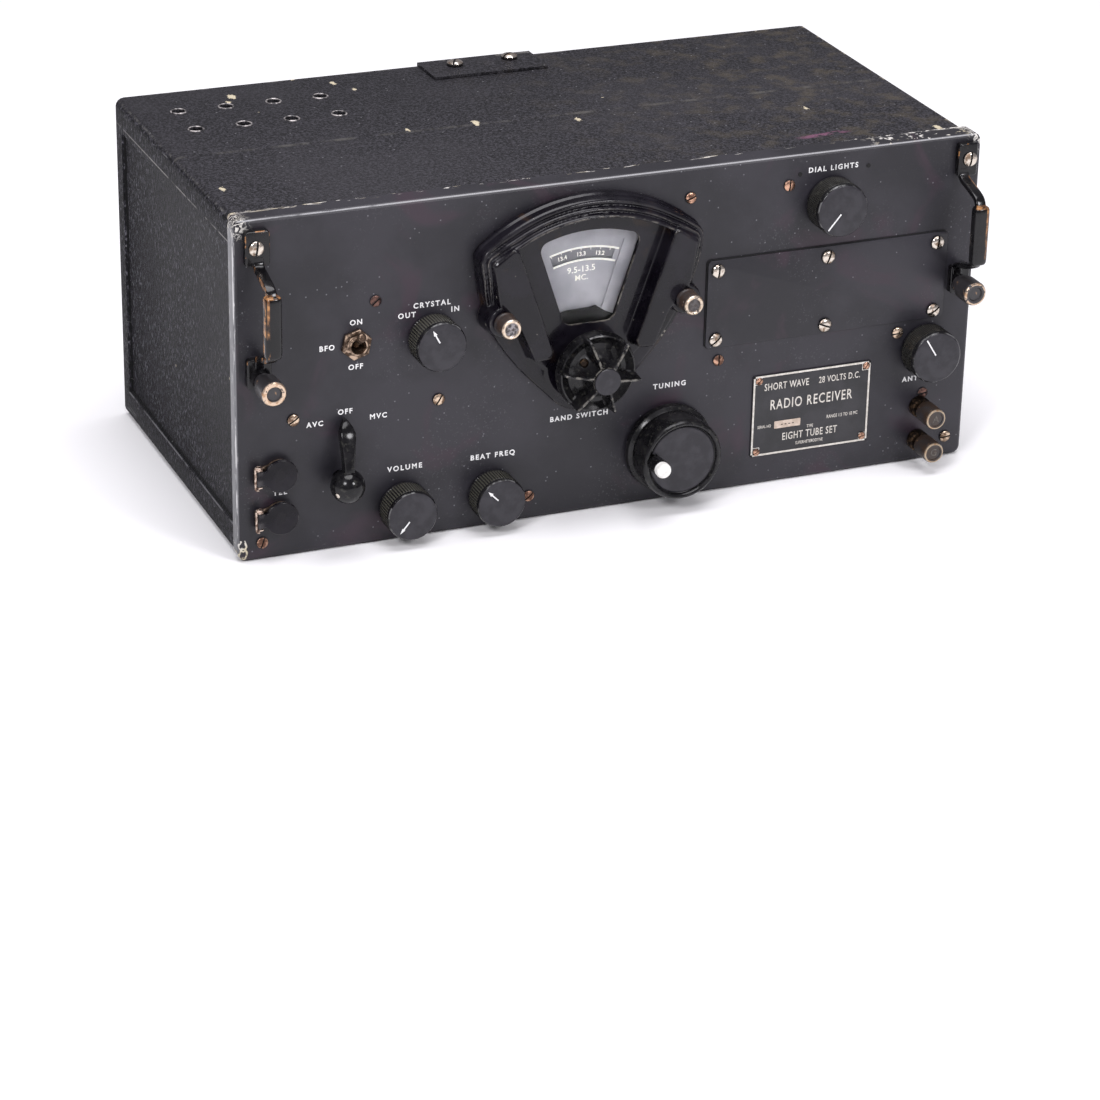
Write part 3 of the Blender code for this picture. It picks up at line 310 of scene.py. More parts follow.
# ---- materials ----------------------------------------------------------------------------
class Paint:
    """Node tree of one material, its patterns in the piece's own coordinates."""

    def __init__(self, name, roughness=0.5, metallic=0.0, **sockets):
        self.material = bpy.data.materials.new(name)
        self.material.use_nodes = True
        self.tree = self.material.node_tree
        self.shader = self.tree.nodes["Principled BSDF"]
        self.shader.inputs["Roughness"].default_value = roughness
        self.shader.inputs["Metallic"].default_value = metallic
        for socket, value in sockets.items():
            self.shader.inputs[socket.replace("_", " ")].default_value = value
        self.place = self.node("ShaderNodeTexCoord").outputs["Object"]
        split = self.node("ShaderNodeSeparateXYZ", {"Vector": self.place})
        self.x, self.y, self.z = split.outputs

    def node(self, kind, inputs=(), **settings):
        node = self.tree.nodes.new(kind)
        for key, value in settings.items():
            setattr(node, key, value)
        for key, value in dict(inputs).items():
            self.feed(node.inputs[key], value)
        return node

    def feed(self, socket, value):
        if isinstance(value, bpy.types.NodeSocket):
            self.tree.links.new(value, socket)
        else:
            socket.default_value = value

    def calc(self, operation, a, b=0.0):
        return self.node("ShaderNodeMath", {0: a, 1: b}, operation=operation).outputs[0]

    def all_of(self, *masks):
        total = masks[0]
        for mask in masks[1:]:
            total = self.calc("MULTIPLY", total, mask)
        return total

    def any_of(self, *masks):
        total = masks[0]
        for mask in masks[1:]:
            total = self.calc("MAXIMUM", total, mask)
        return total

    def ramp(self, value, low, high):
        """0 below low and 1 above high, or the other way round if high is the smaller one."""
        inputs = {"Value": value, "From Min": low, "From Max": high}
        return self.node("ShaderNodeMapRange", inputs, interpolation_type="SMOOTHSTEP").outputs["Result"]

    def near(self, value, goal, reach):
        """1 where a value is at its goal, fading to 0 at reach."""
        return self.ramp(self.calc("ABSOLUTE", self.calc("SUBTRACT", value, goal)), reach, reach * 0.4)

    def stretched(self, stretch):
        if stretch is None:
            return self.place
        inputs = {0: self.place, 1: stretch}
        return self.node("ShaderNodeVectorMath", inputs, operation="MULTIPLY").outputs[0]

    def noise(self, scale, detail=2.0, distortion=0.0, stretch=None):
        inputs = {"Vector": self.stretched(stretch), "Scale": scale, "Detail": detail,
                  "Roughness": 0.55, "Distortion": distortion}
        return self.node("ShaderNodeTexNoise", inputs).outputs["Fac"]

    def specks(self, scale, radius, share, stretch=None):
        """Scattered dots: radius is a share of a cell, share is how many cells hold one."""
        inputs = {"Vector": self.stretched(stretch), "Scale": scale}
        cells = self.node("ShaderNodeTexVoronoi", inputs)
        pick = self.calc("LESS_THAN", cells.outputs["Color"], share)
        return self.calc("MULTIPLY", self.ramp(cells.outputs["Distance"], radius, radius * 0.6), pick)

    def distance(self, a, a0, b, b0, squeeze=1.0):
        """Distance from a point in the plane of two coordinates, with the second one drawn out."""
        across = self.calc("POWER", self.calc("SUBTRACT", a, a0), 2.0)
        along = self.calc("POWER", self.calc("MULTIPLY", self.calc("SUBTRACT", b, b0), squeeze), 2.0)
        return self.calc("SQRT", self.calc("ADD", across, along))

    def radius(self):
        """Distance from the local z axis."""
        return self.distance(self.x, 0.0, self.y, 0.0)

    def ring(self, x, z, radius):
        """Broken outline round a point in the local x and z, higher than it is wide."""
        distance = self.distance(self.x, x, self.z, z, 0.65)
        uneven = self.calc("ADD", distance, self.calc("MULTIPLY", self.noise(420, 4), 0.0026))
        return self.all_of(self.near(uneven, radius + 0.0013, 0.0006), self.ramp(self.noise(300), 0.38, 0.46))

    def worn(self, low, high):
        """1 on raised edges."""
        return self.ramp(self.node("ShaderNodeNewGeometry").outputs["Pointiness"], low, high)

    def mix(self, factor, a, b):
        inputs = {0: factor, 6: (*a, 1.0) if isinstance(a, tuple) else a,
                  7: (*b, 1.0) if isinstance(b, tuple) else b}
        return self.node("ShaderNodeMix", inputs, data_type="RGBA").outputs[2]

    def lay(self, colour, coat, mask, share):
        """Lay a coat over a colour where a mask says so; share is how thick it lies."""
        return self.mix(self.calc("MULTIPLY", mask, share), colour, coat)

    def blend(self, factor, a, b):
        """Plain number mixed by a factor."""
        return self.node("ShaderNodeMapRange", {"Value": factor, "To Min": a, "To Max": b}).outputs["Result"]

    def done(self, colour=None, roughness=None, metallic=None, bump=None, depth=0.0001, strength=1.0):
        if colour is not None:
            self.feed(self.shader.inputs["Base Color"], colour)
        if roughness is not None:
            self.feed(self.shader.inputs["Roughness"], roughness)
        if metallic is not None:
            self.feed(self.shader.inputs["Metallic"], metallic)
        if bump is not None:
            inputs = {"Height": bump, "Distance": depth, "Strength": strength}
            normal = self.node("ShaderNodeBump", inputs).outputs["Normal"]
            self.tree.links.new(normal, self.shader.inputs["Normal"])
        return self.material


CREAM = (0.52, 0.46, 0.33)             # primer where paint has chipped off
BARE = (0.19, 0.19, 0.20)              # rubbed steel
WRAP_TOP = WRAP_HIGH.z
SEAM = 0.1872                          # height of the scraped line along the cabinet's sides
RECESS_FOOT, RECESS_REAR = 0.018, 0.104   # low and rear edges of the recess in each side
FLAKES = [(-0.042, 0.003, 0.0027), (-0.161, 0.095, 0.0028), (-0.166, 0.086, 0.0016), (-0.117, 0.116, 0.0018),
          (-0.216, -0.058, 0.0020), (-0.084, 0.004, 0.0013), (-0.228, 0.090, 0.0014), (-0.096, 0.100, 0.0019),
          (-0.088, 0.085, 0.0014), (0.017, -0.011, 0.0018), (0.153, -0.036, 0.0017), (0.226, -0.053, 0.0014),
          (0.229, -0.082, 0.0020), (0.211, -0.093, 0.0025)]    # x, y and size of chips on the cabinet's top


def wrinkle_paint():
    """Wrinkle enamel: fine ridges, dust in them, flakes knocked off, edges rubbed grey."""
    p = Paint("wrinkle_enamel", 0.55)
    grain = p.noise(640, 3, 0.6)
    fine = p.noise(1500, 2)
    ridges = p.calc("ADD", p.calc("MULTIPLY", grain, 0.7), p.calc("MULTIPLY", fine, 0.3))
    tone = p.noise(13, 5)
    colour = p.mix(p.ramp(ridges, 0.43, 0.61), (0.0035, 0.0033, 0.0046), (0.042, 0.040, 0.048))
    colour = p.lay(colour, (0.034, 0.032, 0.037), p.ramp(tone, 0.42, 0.64), 0.35)
    top = p.ramp(p.z, WRAP_TOP - 0.003, WRAP_TOP - 0.001)
    side = p.calc("SUBTRACT", 1.0, top)
    # darker towards the rear of the top: painted shade
    colour = p.lay(colour, (0.0040, 0.0038, 0.0050), p.ramp(p.y, -0.06, 0.14), 0.30)
    furrows = p.noise(520, 4, 0.8, (1.0, 1.6, 0.62))
    # the side walls' colours are darker than the top's: painted shade on the sides
    wall = p.mix(p.ramp(furrows, 0.46, 0.60), (0.0006, 0.0006, 0.0012), (0.022, 0.0205, 0.028))
    wall = p.mix(p.all_of(p.ramp(furrows, 0.58, 0.64), p.ramp(p.noise(24, 3), 0.36, 0.56)), wall,
                 (0.11, 0.108, 0.125))
    # a dark line along the recess's low and rear edges: painted shade in the step
    groove = p.all_of(p.any_of(p.near(p.z, RECESS_FOOT + 0.0016, 0.0013),
                               p.near(p.y, RECESS_REAR - 0.0018, 0.0012)),
                      p.ramp(p.z, RECESS_FOOT - 0.001, RECESS_FOOT + 0.0005))
    wall = p.lay(wall, (0.0008, 0.0008, 0.0012), groove, 0.9)
    lip = p.all_of(p.near(p.z, RECESS_FOOT - 0.0001, 0.0006), p.ramp(p.y, RECESS_REAR + 0.003, RECESS_REAR),
                   p.ramp(p.noise(80, 4), 0.36, 0.52))
    wall = p.lay(wall, (0.17, 0.17, 0.18), lip, 0.75)
    seam = p.all_of(p.near(p.z, SEAM, 0.0006), p.near(p.y, -0.012, 0.170), p.ramp(p.noise(90, 4), 0.40, 0.60))
    wall = p.lay(wall, (0.26, 0.25, 0.24), seam, 0.8)
    colour = p.mix(side, colour, wall)
    p.feed(p.shader.inputs["Specular IOR Level"], p.blend(side, 0.26, 0.10))
    dusty = p.all_of(p.ramp(p.noise(70, 10), 0.46, 0.70), p.ramp(p.x, -0.06, 0.19), top)
    colour = p.lay(colour, (0.086, 0.070, 0.045), dusty, 0.42)
    # a pale line along the fold across the top: painted highlight
    crease_highlight = p.all_of(p.near(p.y, 0.0006, 0.0016), top, p.ramp(p.noise(60, 6, 0, (1, 0.2, 1)), 0.42, 0.66))
    colour = p.lay(colour, (0.110, 0.104, 0.092), crease_highlight, 0.45)
    stroke = p.all_of(p.near(p.calc("SUBTRACT", p.y, p.calc("MULTIPLY", p.x, 0.10)), -0.0972, 0.0034),
                      p.near(p.x, 0.142, 0.021), top, p.ramp(p.noise(240, 3), 0.42, 0.58))
    colour = p.lay(colour, (0.22, 0.085, 0.15), stroke, 0.6)
    edge_x = p.ramp(p.calc("ABSOLUTE", p.x), WRAP_HIGH.x - 0.0026, WRAP_HIGH.x - 0.0014)
    edge_z = p.ramp(p.z, WRAP_TOP - 0.0026, WRAP_TOP - 0.0014)
    rubbed = p.all_of(edge_x, edge_z, p.ramp(p.noise(420, 4), 0.46, 0.60), 0.7)
    rear = p.all_of(p.ramp(p.y, WRAP_HIGH.y - 0.0022, WRAP_HIGH.y - 0.0006), edge_z,
                    p.ramp(p.noise(120, 4), 0.50, 0.62))
    colour = p.lay(colour, (0.15, 0.145, 0.135), p.any_of(rubbed, rear), 0.6)
    chipped = p.all_of(p.ramp(p.x, WRAP_HIGH.x - 0.0065, WRAP_HIGH.x - 0.0020), edge_z,
                       p.ramp(p.noise(230, 5, 1.0), 0.595, 0.625))
    scratch = p.all_of(side, p.ramp(p.noise(210, 2, 0, (0.12, 0.12, 3.0)), 0.71, 0.74),
                       p.ramp(p.noise(14), 0.50, 0.60))
    colour = p.lay(colour, (0.16, 0.16, 0.16), scratch, 0.7)
    colour = p.lay(colour, (0.22, 0.22, 0.23), p.specks(300, 0.20, 0.20), 0.55)
    ragged = p.calc("MULTIPLY", p.calc("SUBTRACT", p.noise(700, 3), 0.5), 0.0042)
    flakes = p.any_of(p.calc("MULTIPLY", chipped, 0.8), p.specks(44, 0.050, 0.20, (1.0, 2.2, 1.0)))
    for x, y, size in FLAKES:
        reach = p.calc("ADD", p.distance(p.x, x, p.y, y, 0.55), ragged)
        flakes = p.any_of(flakes, p.all_of(p.ramp(reach, size * 0.90, size * 0.70), top))
    colour = p.mix(flakes, colour, CREAM)
    relief = p.calc("ADD", p.calc("MULTIPLY", ridges, top), p.calc("MULTIPLY", furrows, side))
    return p.done(colour, bump=relief, depth=0.0008, strength=0.9)


def panel_paint():
    """Satin black panel enamel, dulled and specked, worn to metal along its turned edges."""
    p = Paint("panel_enamel", 0.40, Specular_IOR_Level=0.42)
    tone = p.noise(12, 6)
    colour = p.mix(p.ramp(tone, 0.40, 0.60), (0.0095, 0.0088, 0.0125), (0.0205, 0.0190, 0.0250))
    plum = p.all_of(p.ramp(p.noise(19, 4, 1.0), 0.54, 0.68), 0.6)
    colour = p.mix(plum, colour, (0.033, 0.016, 0.027))
    dark = p.specks(34, 0.13, 0.10)
    colour = p.lay(colour, (0.012, 0.012, 0.016), dark, 0.6)
    haze = p.all_of(p.ramp(p.noise(900, 2), 0.60, 0.72), p.ramp(p.noise(30, 4), 0.45, 0.65), 0.5)
    colour = p.mix(haze, colour, (0.075, 0.072, 0.080))
    colour = p.lay(colour, (0.22, 0.22, 0.24), p.specks(330, 0.17, 0.12), 0.5)
    colour = p.lay(colour, (0.36, 0.35, 0.35), p.specks(105, 0.040, 0.05), 0.5)
    colour = p.lay(colour, (0.30, 0.29, 0.30), p.specks(190, 0.090, 0.10), 0.3)

    side = p.ramp(p.calc("ABSOLUTE", p.x), HALF - 0.0012, HALF - 0.0004)
    streak = p.noise(60, 5, 0.3, (9.0, 9.0, 0.35))
    rub = p.noise(420, 3, 0.0, (1.0, 3.0, 0.25))
    metal = p.mix(p.ramp(streak, 0.35, 0.65), (0.13, 0.13, 0.14), BARE)
    metal = p.mix(p.ramp(rub, 0.60, 0.68), metal, (0.50, 0.50, 0.50))
    edge = p.any_of(p.near(p.y, FACE + 0.0016, 0.0005), p.near(p.y, FACE + 0.0108, 0.0005))
    metal = p.mix(p.all_of(edge, p.ramp(p.noise(75, 6, 0, (1, 1, 0.6)), 0.44, 0.60), 0.8), metal,
                  (0.80, 0.80, 0.79))
    near_fold = p.ramp(p.y, FACE + 0.0026, FACE + 0.0010)
    # a pale line just under the top fold of the panel: painted highlight on the fold
    lip = p.all_of(p.near(p.z, CREST - 0.0007, 0.00045), near_fold,
                   p.ramp(p.noise(35, 4, 0, (1, 6, 6)), 0.34, 0.46))
    colour = p.lay(colour, (0.34, 0.34, 0.35), lip, 0.8)
    bare = p.calc("MULTIPLY", side, p.ramp(streak, 0.22, 0.32))
    colour = p.mix(bare, colour, metal)

    band = p.ramp(p.z, CREST - 0.0008, CREST - 0.0003)
    rim = p.ramp(p.y, FACE + 0.0105, FACE + 0.0132)
    crackle = p.noise(330, 4, 1.5, (1.0, 2.2, 1.0))
    worn_corner = p.ramp(p.calc("ABSOLUTE", p.x), HALF - 0.110, HALF - 0.010)
    dashes = p.noise(330, 4, 1.0, (0.30, 1.6, 1.0))
    chip_field = p.calc("ADD", dashes, p.calc("MULTIPLY", worn_corner, 0.08))
    rim_chips = p.all_of(band, rim, p.ramp(chip_field, 0.60, 0.63))
    corner = p.all_of(p.ramp(p.calc("ABSOLUTE", p.x), HALF - 0.012, HALF - 0.002),
                      p.ramp(p.z, CREST - 0.014, CREST - 0.003), p.ramp(crackle, 0.50, 0.54))
    low = p.any_of(p.ring(-HALF + 0.0026, 0.0102, 0.0019), p.ring(-HALF + 0.0026, 0.0048, 0.0022),
                   p.all_of(p.ramp(p.x, -HALF + 0.006, -HALF + 0.003), p.ramp(p.z, 0.004, 0.002),
                            p.ramp(crackle, 0.52, 0.56)))
    right = p.all_of(band, p.ramp(p.x, HALF - 0.075, HALF - 0.055), p.ramp(p.noise(150, 4, 1.2), 0.58, 0.62))
    chips = p.any_of(rim_chips, corner, low, right)
    flake = p.mix(p.ramp(p.noise(60), 0.45, 0.60), (0.62, 0.60, 0.56), CREAM)
    colour = p.mix(chips, colour, flake)
    rough = p.blend(p.any_of(bare, p.calc("MULTIPLY", tone, 0.5)), 0.46, 0.34)
    metallic = p.calc("MULTIPLY", bare, 0.9)
    return p.done(colour, rough, metallic, p.noise(520, 2), 0.00004, 0.5)


def cast_black(name="cast_enamel", wear=0.6, low=0.56, high=0.62, brown=(0.23, 0.10, 0.035), gloss=0.20):
    """Gloss black enamel over a casting; its raised edges take the brown: rubbed-through primer and metal, and
    where the brown is pale a painted highlight along the edges.
    """
    p = Paint(name, 0.30, Specular_IOR_Level=gloss, Coat_Weight=gloss * 1.8, Coat_Roughness=0.05)
    tone = p.ramp(p.noise(45, 5), 0.40, 0.66)
    colour = p.mix(tone, (0.0028, 0.0022, 0.0042), (0.0085, 0.0073, 0.0112))
    rust = p.ramp(p.noise(38, 6, 0.4), 0.60, 0.74)
    colour = p.lay(colour, (0.060, 0.032, 0.014), rust, 0.45)
    # raised edges: rubbed wear, and with a pale brown a painted highlight
    edges = p.all_of(p.worn(low, high), p.ramp(p.noise(130, 4), 0.42, 0.58))
    colour = p.mix(p.calc("MULTIPLY", edges, wear), colour, brown)
    colour = p.lay(colour, (0.16, 0.15, 0.13), p.specks(300, 0.15, 0.10), 0.5)
    rough = p.blend(tone, 0.20, 0.42)
    return p.done(colour, rough, bump=p.noise(620, 3), depth=0.00012, strength=0.5)


GRIP_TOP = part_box("handle_left")[1].z - 0.0292


def handle_paint():
    """Gloss black; the grip's outer side and the edges of the feet rubbed to brown."""
    p = Paint("handle_enamel", 0.24, Specular_IOR_Level=0.24, Coat_Weight=0.22, Coat_Roughness=0.07)
    tone = p.ramp(p.noise(60, 5), 0.40, 0.66)
    colour = p.mix(tone, (0.0026, 0.0024, 0.0030), (0.0075, 0.0070, 0.0080))
    outer = p.calc("ABSOLUTE", p.x)
    left = p.blend(p.ramp(p.x, 0.01, -0.01), 0.08, 0.0)
    worn = p.calc("SUBTRACT", p.noise(150, 5, 0, (1, 0.35, 1)), left)
    grip = p.all_of(p.near(outer, 0.2205, 0.0007), p.ramp(p.z, 0.0190, 0.0225), p.ramp(worn, 0.47, 0.54))
    strap = p.all_of(p.near(outer, 0.2188, 0.0009), p.ramp(p.z, 0.0050, 0.0070), p.ramp(worn, 0.44, 0.53))
    collar = p.all_of(p.near(p.y, GRIP_TOP, 0.0011), p.ramp(p.z, 0.0190, 0.0225),
                      p.ramp(p.noise(200, 3), 0.45, 0.55))
    foot_field = p.calc("SUBTRACT", p.noise(130, 4), left)
    foot = p.all_of(p.near(p.z, 0.0038, 0.0006), p.ramp(foot_field, 0.54, 0.61))
    wear = p.any_of(grip, strap, foot, p.calc("MULTIPLY", collar, 0.8))
    brown = p.mix(p.ramp(p.noise(260, 3), 0.40, 0.62), (0.16, 0.075, 0.035), (0.48, 0.23, 0.085))
    colour = p.lay(colour, brown, wear, 0.85)
    colour = p.lay(colour, (0.14, 0.12, 0.10), p.specks(300, 0.15, 0.10), 0.5)
    return p.done(colour, p.blend(tone, 0.18, 0.36), bump=p.noise(620, 3), depth=0.0001, strength=0.5)


def bakelite(name="bakelite", face=None, rim=None, gloss=0.26, grip=None, dust_share=0.7, ridges=False,
             coat=0.14):
    """Black phenolic. Above a height, or inside a rim, it has the dull flat top of a knob."""
    p = Paint(name, gloss, Specular_IOR_Level=0.26, Coat_Weight=coat, Coat_Roughness=0.08)
    tone = p.ramp(p.noise(90, 4), 0.38, 0.66)
    colour = p.mix(tone, (0.0040, 0.0038, 0.0046), (0.0085, 0.0080, 0.0092))
    rough = p.blend(tone, gloss - 0.04, gloss + 0.10)
    dust = p.all_of(p.ramp(p.noise(420, 3), 0.55, 0.70), 0.5)
    colour = p.mix(dust, colour, (0.045, 0.045, 0.038))
    if grip is not None:
        groove = p.all_of(p.ramp(p.radius(), grip - 0.00012, grip - 0.00030), p.ramp(p.z, 0.0022, 0.0026),
                          p.ramp(p.z, 0.0141, 0.0137))
        colour = p.mix(p.calc("MULTIPLY", groove, dust_share), colour, (0.105, 0.102, 0.080))
        worn_rim = p.all_of(p.near(p.z, 0.0163, 0.0010), p.ramp(p.noise(260, 4), 0.48, 0.60))
        colour = p.lay(colour, (0.20, 0.20, 0.20), worn_rim, 0.6)
    if ridges:
        slope = p.calc("ADD", p.z, p.calc("MULTIPLY", p.radius(), 0.26))
        edge = p.all_of(p.near(slope, 0.0358, 0.0008), p.ramp(p.noise(330, 4), 0.42, 0.58))
        colour = p.lay(colour, (0.18, 0.17, 0.15), edge, 0.7)
    flat = None
    if face is not None:
        flat = p.ramp(p.z, face - 0.0004, face - 0.0001)
    if rim is not None:
        flat = p.all_of(p.ramp(p.z, 0.0226, 0.0229), p.ramp(p.radius(), rim, rim - 0.0003))
    if flat is not None:
        satin = p.mix(p.ramp(p.noise(120, 5), 0.40, 0.64), (0.018, 0.017, 0.021), (0.029, 0.0275, 0.033))
        colour = p.mix(flat, colour, satin)
        rough = p.calc("MAXIMUM", rough, p.calc("MULTIPLY", flat, 0.44))
    return p.done(colour, rough, bump=p.noise(900, 2), depth=0.00003, strength=0.4)


def worn_metal(name, metal, tarnish, roughness=0.32, share=(0.42, 0.62), scale=160, shade_height=None):
    """Plated metal with tarnish in patches; up to a given height it is black, as painted shade in a screw's slot
    that also darkens the foot of its head.
    """
    p = Paint(name, roughness, 1.0)
    patch = p.ramp(p.noise(scale, 5, 0.5), *share)
    colour = p.mix(patch, metal, tarnish)
    rough = p.blend(patch, roughness - 0.06, roughness + 0.22)
    metallic = None
    if shade_height is not None:
        # black below the given height: painted shade
        low = p.ramp(p.z, shade_height + 0.0001, shade_height)
        colour = p.mix(low, colour, (0.006, 0.005, 0.005))
        metallic = p.calc("SUBTRACT", 1.0, low)
    return p.done(colour, rough, metallic, p.noise(700, 3), 0.00003, 0.5)


def worn_cap(name, outer, ring, face, metal, side, breaks=0.5, frost=0.0):
    """Blackened brass cap: its rim is rubbed bright, its side and its middle stay dark."""
    p = Paint(name, 0.36, 0.0, Coat_Weight=0.1)
    patch = p.noise(380, 5, 0.6)
    flat = p.ramp(p.z, face - 0.0011, face - 0.0004)
    edge = p.ramp(p.radius(), outer - ring - 0.0005, outer - ring + 0.0001)
    bright = p.all_of(flat, edge, p.ramp(patch, 0.20 + 0.3 * breaks, 0.32 + 0.3 * breaks))
    scratch = p.all_of(p.calc("SUBTRACT", 1.0, flat), p.ramp(patch, 0.64, 0.70), 0.6)
    bright = p.any_of(bright, scratch)
    dark = p.mix(p.ramp(p.noise(120, 4), 0.4, 0.65), side, (0.028, 0.026, 0.028))
    colour = p.mix(bright, dark, p.mix(p.ramp(patch, 0.5, 0.75), metal, (0.36, 0.20, 0.10)))
    if frost:
        centre = p.all_of(p.ramp(p.z, face - 0.0022, face - 0.0014), p.ramp(p.radius(), 0.0044, 0.0039),
                          p.ramp(p.noise(520, 4), 0.42, 0.58), frost)
        colour = p.mix(centre, colour, (0.30, 0.28, 0.29))
    return p.done(colour, p.blend(bright, 0.40, 0.30), p.calc("MULTIPLY", bright, 0.9), p.noise(800, 2),
                  0.00004, 0.5)


def sheet_metal(name, colour_low, colour_high, roughness=0.38, metallic=0.9, stretch=(1.0, 14.0, 1.0)):
    """Brushed chassis metal, cloudy with age."""
    p = Paint(name, roughness, metallic)
    brushed = p.noise(160, 4, 0.0, stretch)
    cloud = p.noise(22, 5, 0.5)
    colour = p.mix(p.ramp(brushed, 0.30, 0.70), colour_low, colour_high)
    colour = p.lay(colour, tuple(c * 0.55 for c in colour_low), p.ramp(cloud, 0.45, 0.70), 0.5)
    return p.done(colour, p.blend(cloud, roughness - 0.08, roughness + 0.16), bump=brushed, depth=0.00004,
                  strength=0.4)


def dial_grey(name="dial_grey", low=(0.43, 0.42, 0.45), high=(0.54, 0.53, 0.56)):
    """Pale painted metal behind the dial window."""
    p = Paint(name, 0.50)
    colour = p.mix(p.ramp(p.noise(35, 4), 0.38, 0.64), low, high)
    colour = p.lay(colour, (0.62, 0.61, 0.60), p.specks(420, 0.16, 0.08), 0.5)
    return p.done(colour, bump=p.noise(700, 2), depth=0.00003, strength=0.4)


def speckled(name, low, high, roughness, metallic=0.0, scale=220, **sockets):
    """Plain finish with fine variation, for small parts."""
    p = Paint(name, roughness, metallic, **sockets)
    tone = p.noise(scale, 4)
    colour = p.mix(p.ramp(tone, 0.36, 0.66), low, high)
    return p.done(colour, p.blend(tone, roughness - 0.05, roughness + 0.08), bump=tone, depth=0.00003,
                  strength=0.4)


def clear_glass():
    p = Paint("clear_glass", 0.04, Transmission_Weight=1.0, IOR=1.20)
    smear = p.noise(60, 3, 0.5)
    colour = p.mix(p.ramp(smear, 0.4, 0.7), (0.96, 0.97, 0.97), (0.90, 0.91, 0.92))
    return p.done(colour, p.blend(smear, 0.02, 0.07))


WRINKLE = wrinkle_paint()
PANEL = panel_paint()
HOUSING = cast_black("housing_enamel", 0.0)
# pale edges: painted highlights along the rim's ridges, with some rubbed wear
CASTING = cast_black("dial_casting", 0.75, 0.515, 0.565, (0.24, 0.22, 0.19), 0.16)
STRAP = handle_paint()
BAKELITE = bakelite()
HUBBED = bakelite("finned_bakelite", 0.0357, ridges=True)
BIG_KNOB = bakelite("tuning_bakelite", rim=0.0204)
GLOSS = bakelite("glossy_bakelite", gloss=0.16, coat=0.04)
GREY = dial_grey()
SCALE = dial_grey("scale_grey", (0.22, 0.215, 0.235), (0.29, 0.285, 0.305))
COPPER_METAL = ((0.56, 0.33, 0.23), (0.13, 0.070, 0.050), 0.30, (0.40, 0.60), 300)
NICKEL_METAL = ((0.62, 0.56, 0.49), (0.24, 0.17, 0.12), 0.26, (0.46, 0.64), 300)
TAN_METAL = ((0.62, 0.48, 0.36), (0.17, 0.11, 0.075), 0.28, (0.42, 0.62), 300)
DULL_METAL = ((0.15, 0.085, 0.070), (0.03, 0.022, 0.022), 0.42, (0.40, 0.60), 300)
NICKEL = worn_metal("nickelled", *NICKEL_METAL)
BRASS = worn_metal("old_brass", (0.21, 0.135, 0.080), (0.022, 0.016, 0.013), 0.38, (0.36, 0.56), 240)
GEAR_BRASS = worn_metal("gear_brass", (0.50, 0.36, 0.17), (0.28, 0.19, 0.10), 0.30, (0.42, 0.62), 120)
# grey edges: painted highlight round the lid's bevelled rim
LID = cast_black("jack_lid", 0.6, 0.515, 0.56, (0.075, 0.070, 0.072), 0.11)
HINGE_WIRE = worn_metal("hinge_wire", (0.62, 0.50, 0.42), (0.17, 0.11, 0.085), 0.30, (0.40, 0.60), 300)
SWITCH = worn_metal("worn_switch_plate", (0.42, 0.31, 0.23), (0.075, 0.050, 0.036), 0.34, (0.40, 0.58), 260)
LETTER = speckled("letter_white", (0.66, 0.66, 0.66), (0.84, 0.84, 0.83), 0.55, scale=900)
# pale letters that glow a little: painted light, no lamp is lit behind them
GLOWING_LETTER = speckled("glowing_letter", (0.80, 0.78, 0.72), (0.92, 0.90, 0.84), 0.5, scale=900,
                      Emission_Color=(1.0, 0.97, 0.88, 1.0), Emission_Strength=0.30)
# plain black: painted shade at the hatch's edge, at the window's foot and in two small holes; also the stamped
# marks
DARK = speckled("shade_and_print_black", (0.002, 0.002, 0.002), (0.004, 0.004, 0.004), 0.8)
ALUMINIUM = sheet_metal("chassis_aluminium", (0.38, 0.38, 0.37), (0.56, 0.56, 0.55))
CAN = sheet_metal("spun_aluminium", (0.46, 0.46, 0.46), (0.62, 0.62, 0.62), 0.30, 0.95, (1.0, 1.0, 9.0))
TUBE_SHELL = sheet_metal("tube_shell", (0.020, 0.020, 0.021), (0.045, 0.045, 0.046), 0.38, 0.5, (1, 1, 6))
CORE = sheet_metal("core_laminations", (0.020, 0.019, 0.018), (0.070, 0.062, 0.055), 0.50, 0.5,
                   (22.0, 1.0, 1.0))
IVORY = speckled("ivory_plastic", (0.66, 0.65, 0.62), (0.84, 0.83, 0.80), 0.30, scale=320)
PLATE = speckled("plate_black", (0.010, 0.010, 0.012), (0.022, 0.021, 0.025), 0.42, scale=60)
PLATE_LIGHT = speckled("plate_metal", (0.50, 0.47, 0.42), (0.68, 0.65, 0.60), 0.42, 0.3, scale=500)
TAG = speckled("tag_metal", (0.46, 0.37, 0.30), (0.62, 0.52, 0.44), 0.5, 0.3, scale=300)
DIM = speckled("dim_letter", (0.055, 0.048, 0.042), (0.11, 0.095, 0.080), 0.5, scale=600)
# dark to pale specks: rubbed paint and painted glints on the vent rims
RUBBED_AND_GLINTS = speckled("rubbed_paint_and_glints", (0.030, 0.029, 0.031), (0.46, 0.43, 0.42), 0.36, 0.4, scale=420)
GLASS = clear_glass()


# ---- shared parts -------------------------------------------------------------------------
def sweep(bm, path, ring, side=(1.0, 0.0, 0.0)):
    """Skin along a path; ring(i) gives the section's points, across and along the side axis."""
    path = [Vector(point) for point in path]
    rings = []
    for i, point in enumerate(path):
        tangent = (path[min(i + 1, len(path) - 1)] - path[max(i - 1, 0)]).normalized()
        across = (Vector(side) - tangent * tangent.dot(Vector(side))).normalized()
        up = tangent.cross(across)
        rings.append([point + across * a + up * b for a, b in ring(i)])
    loft(bm, rings)


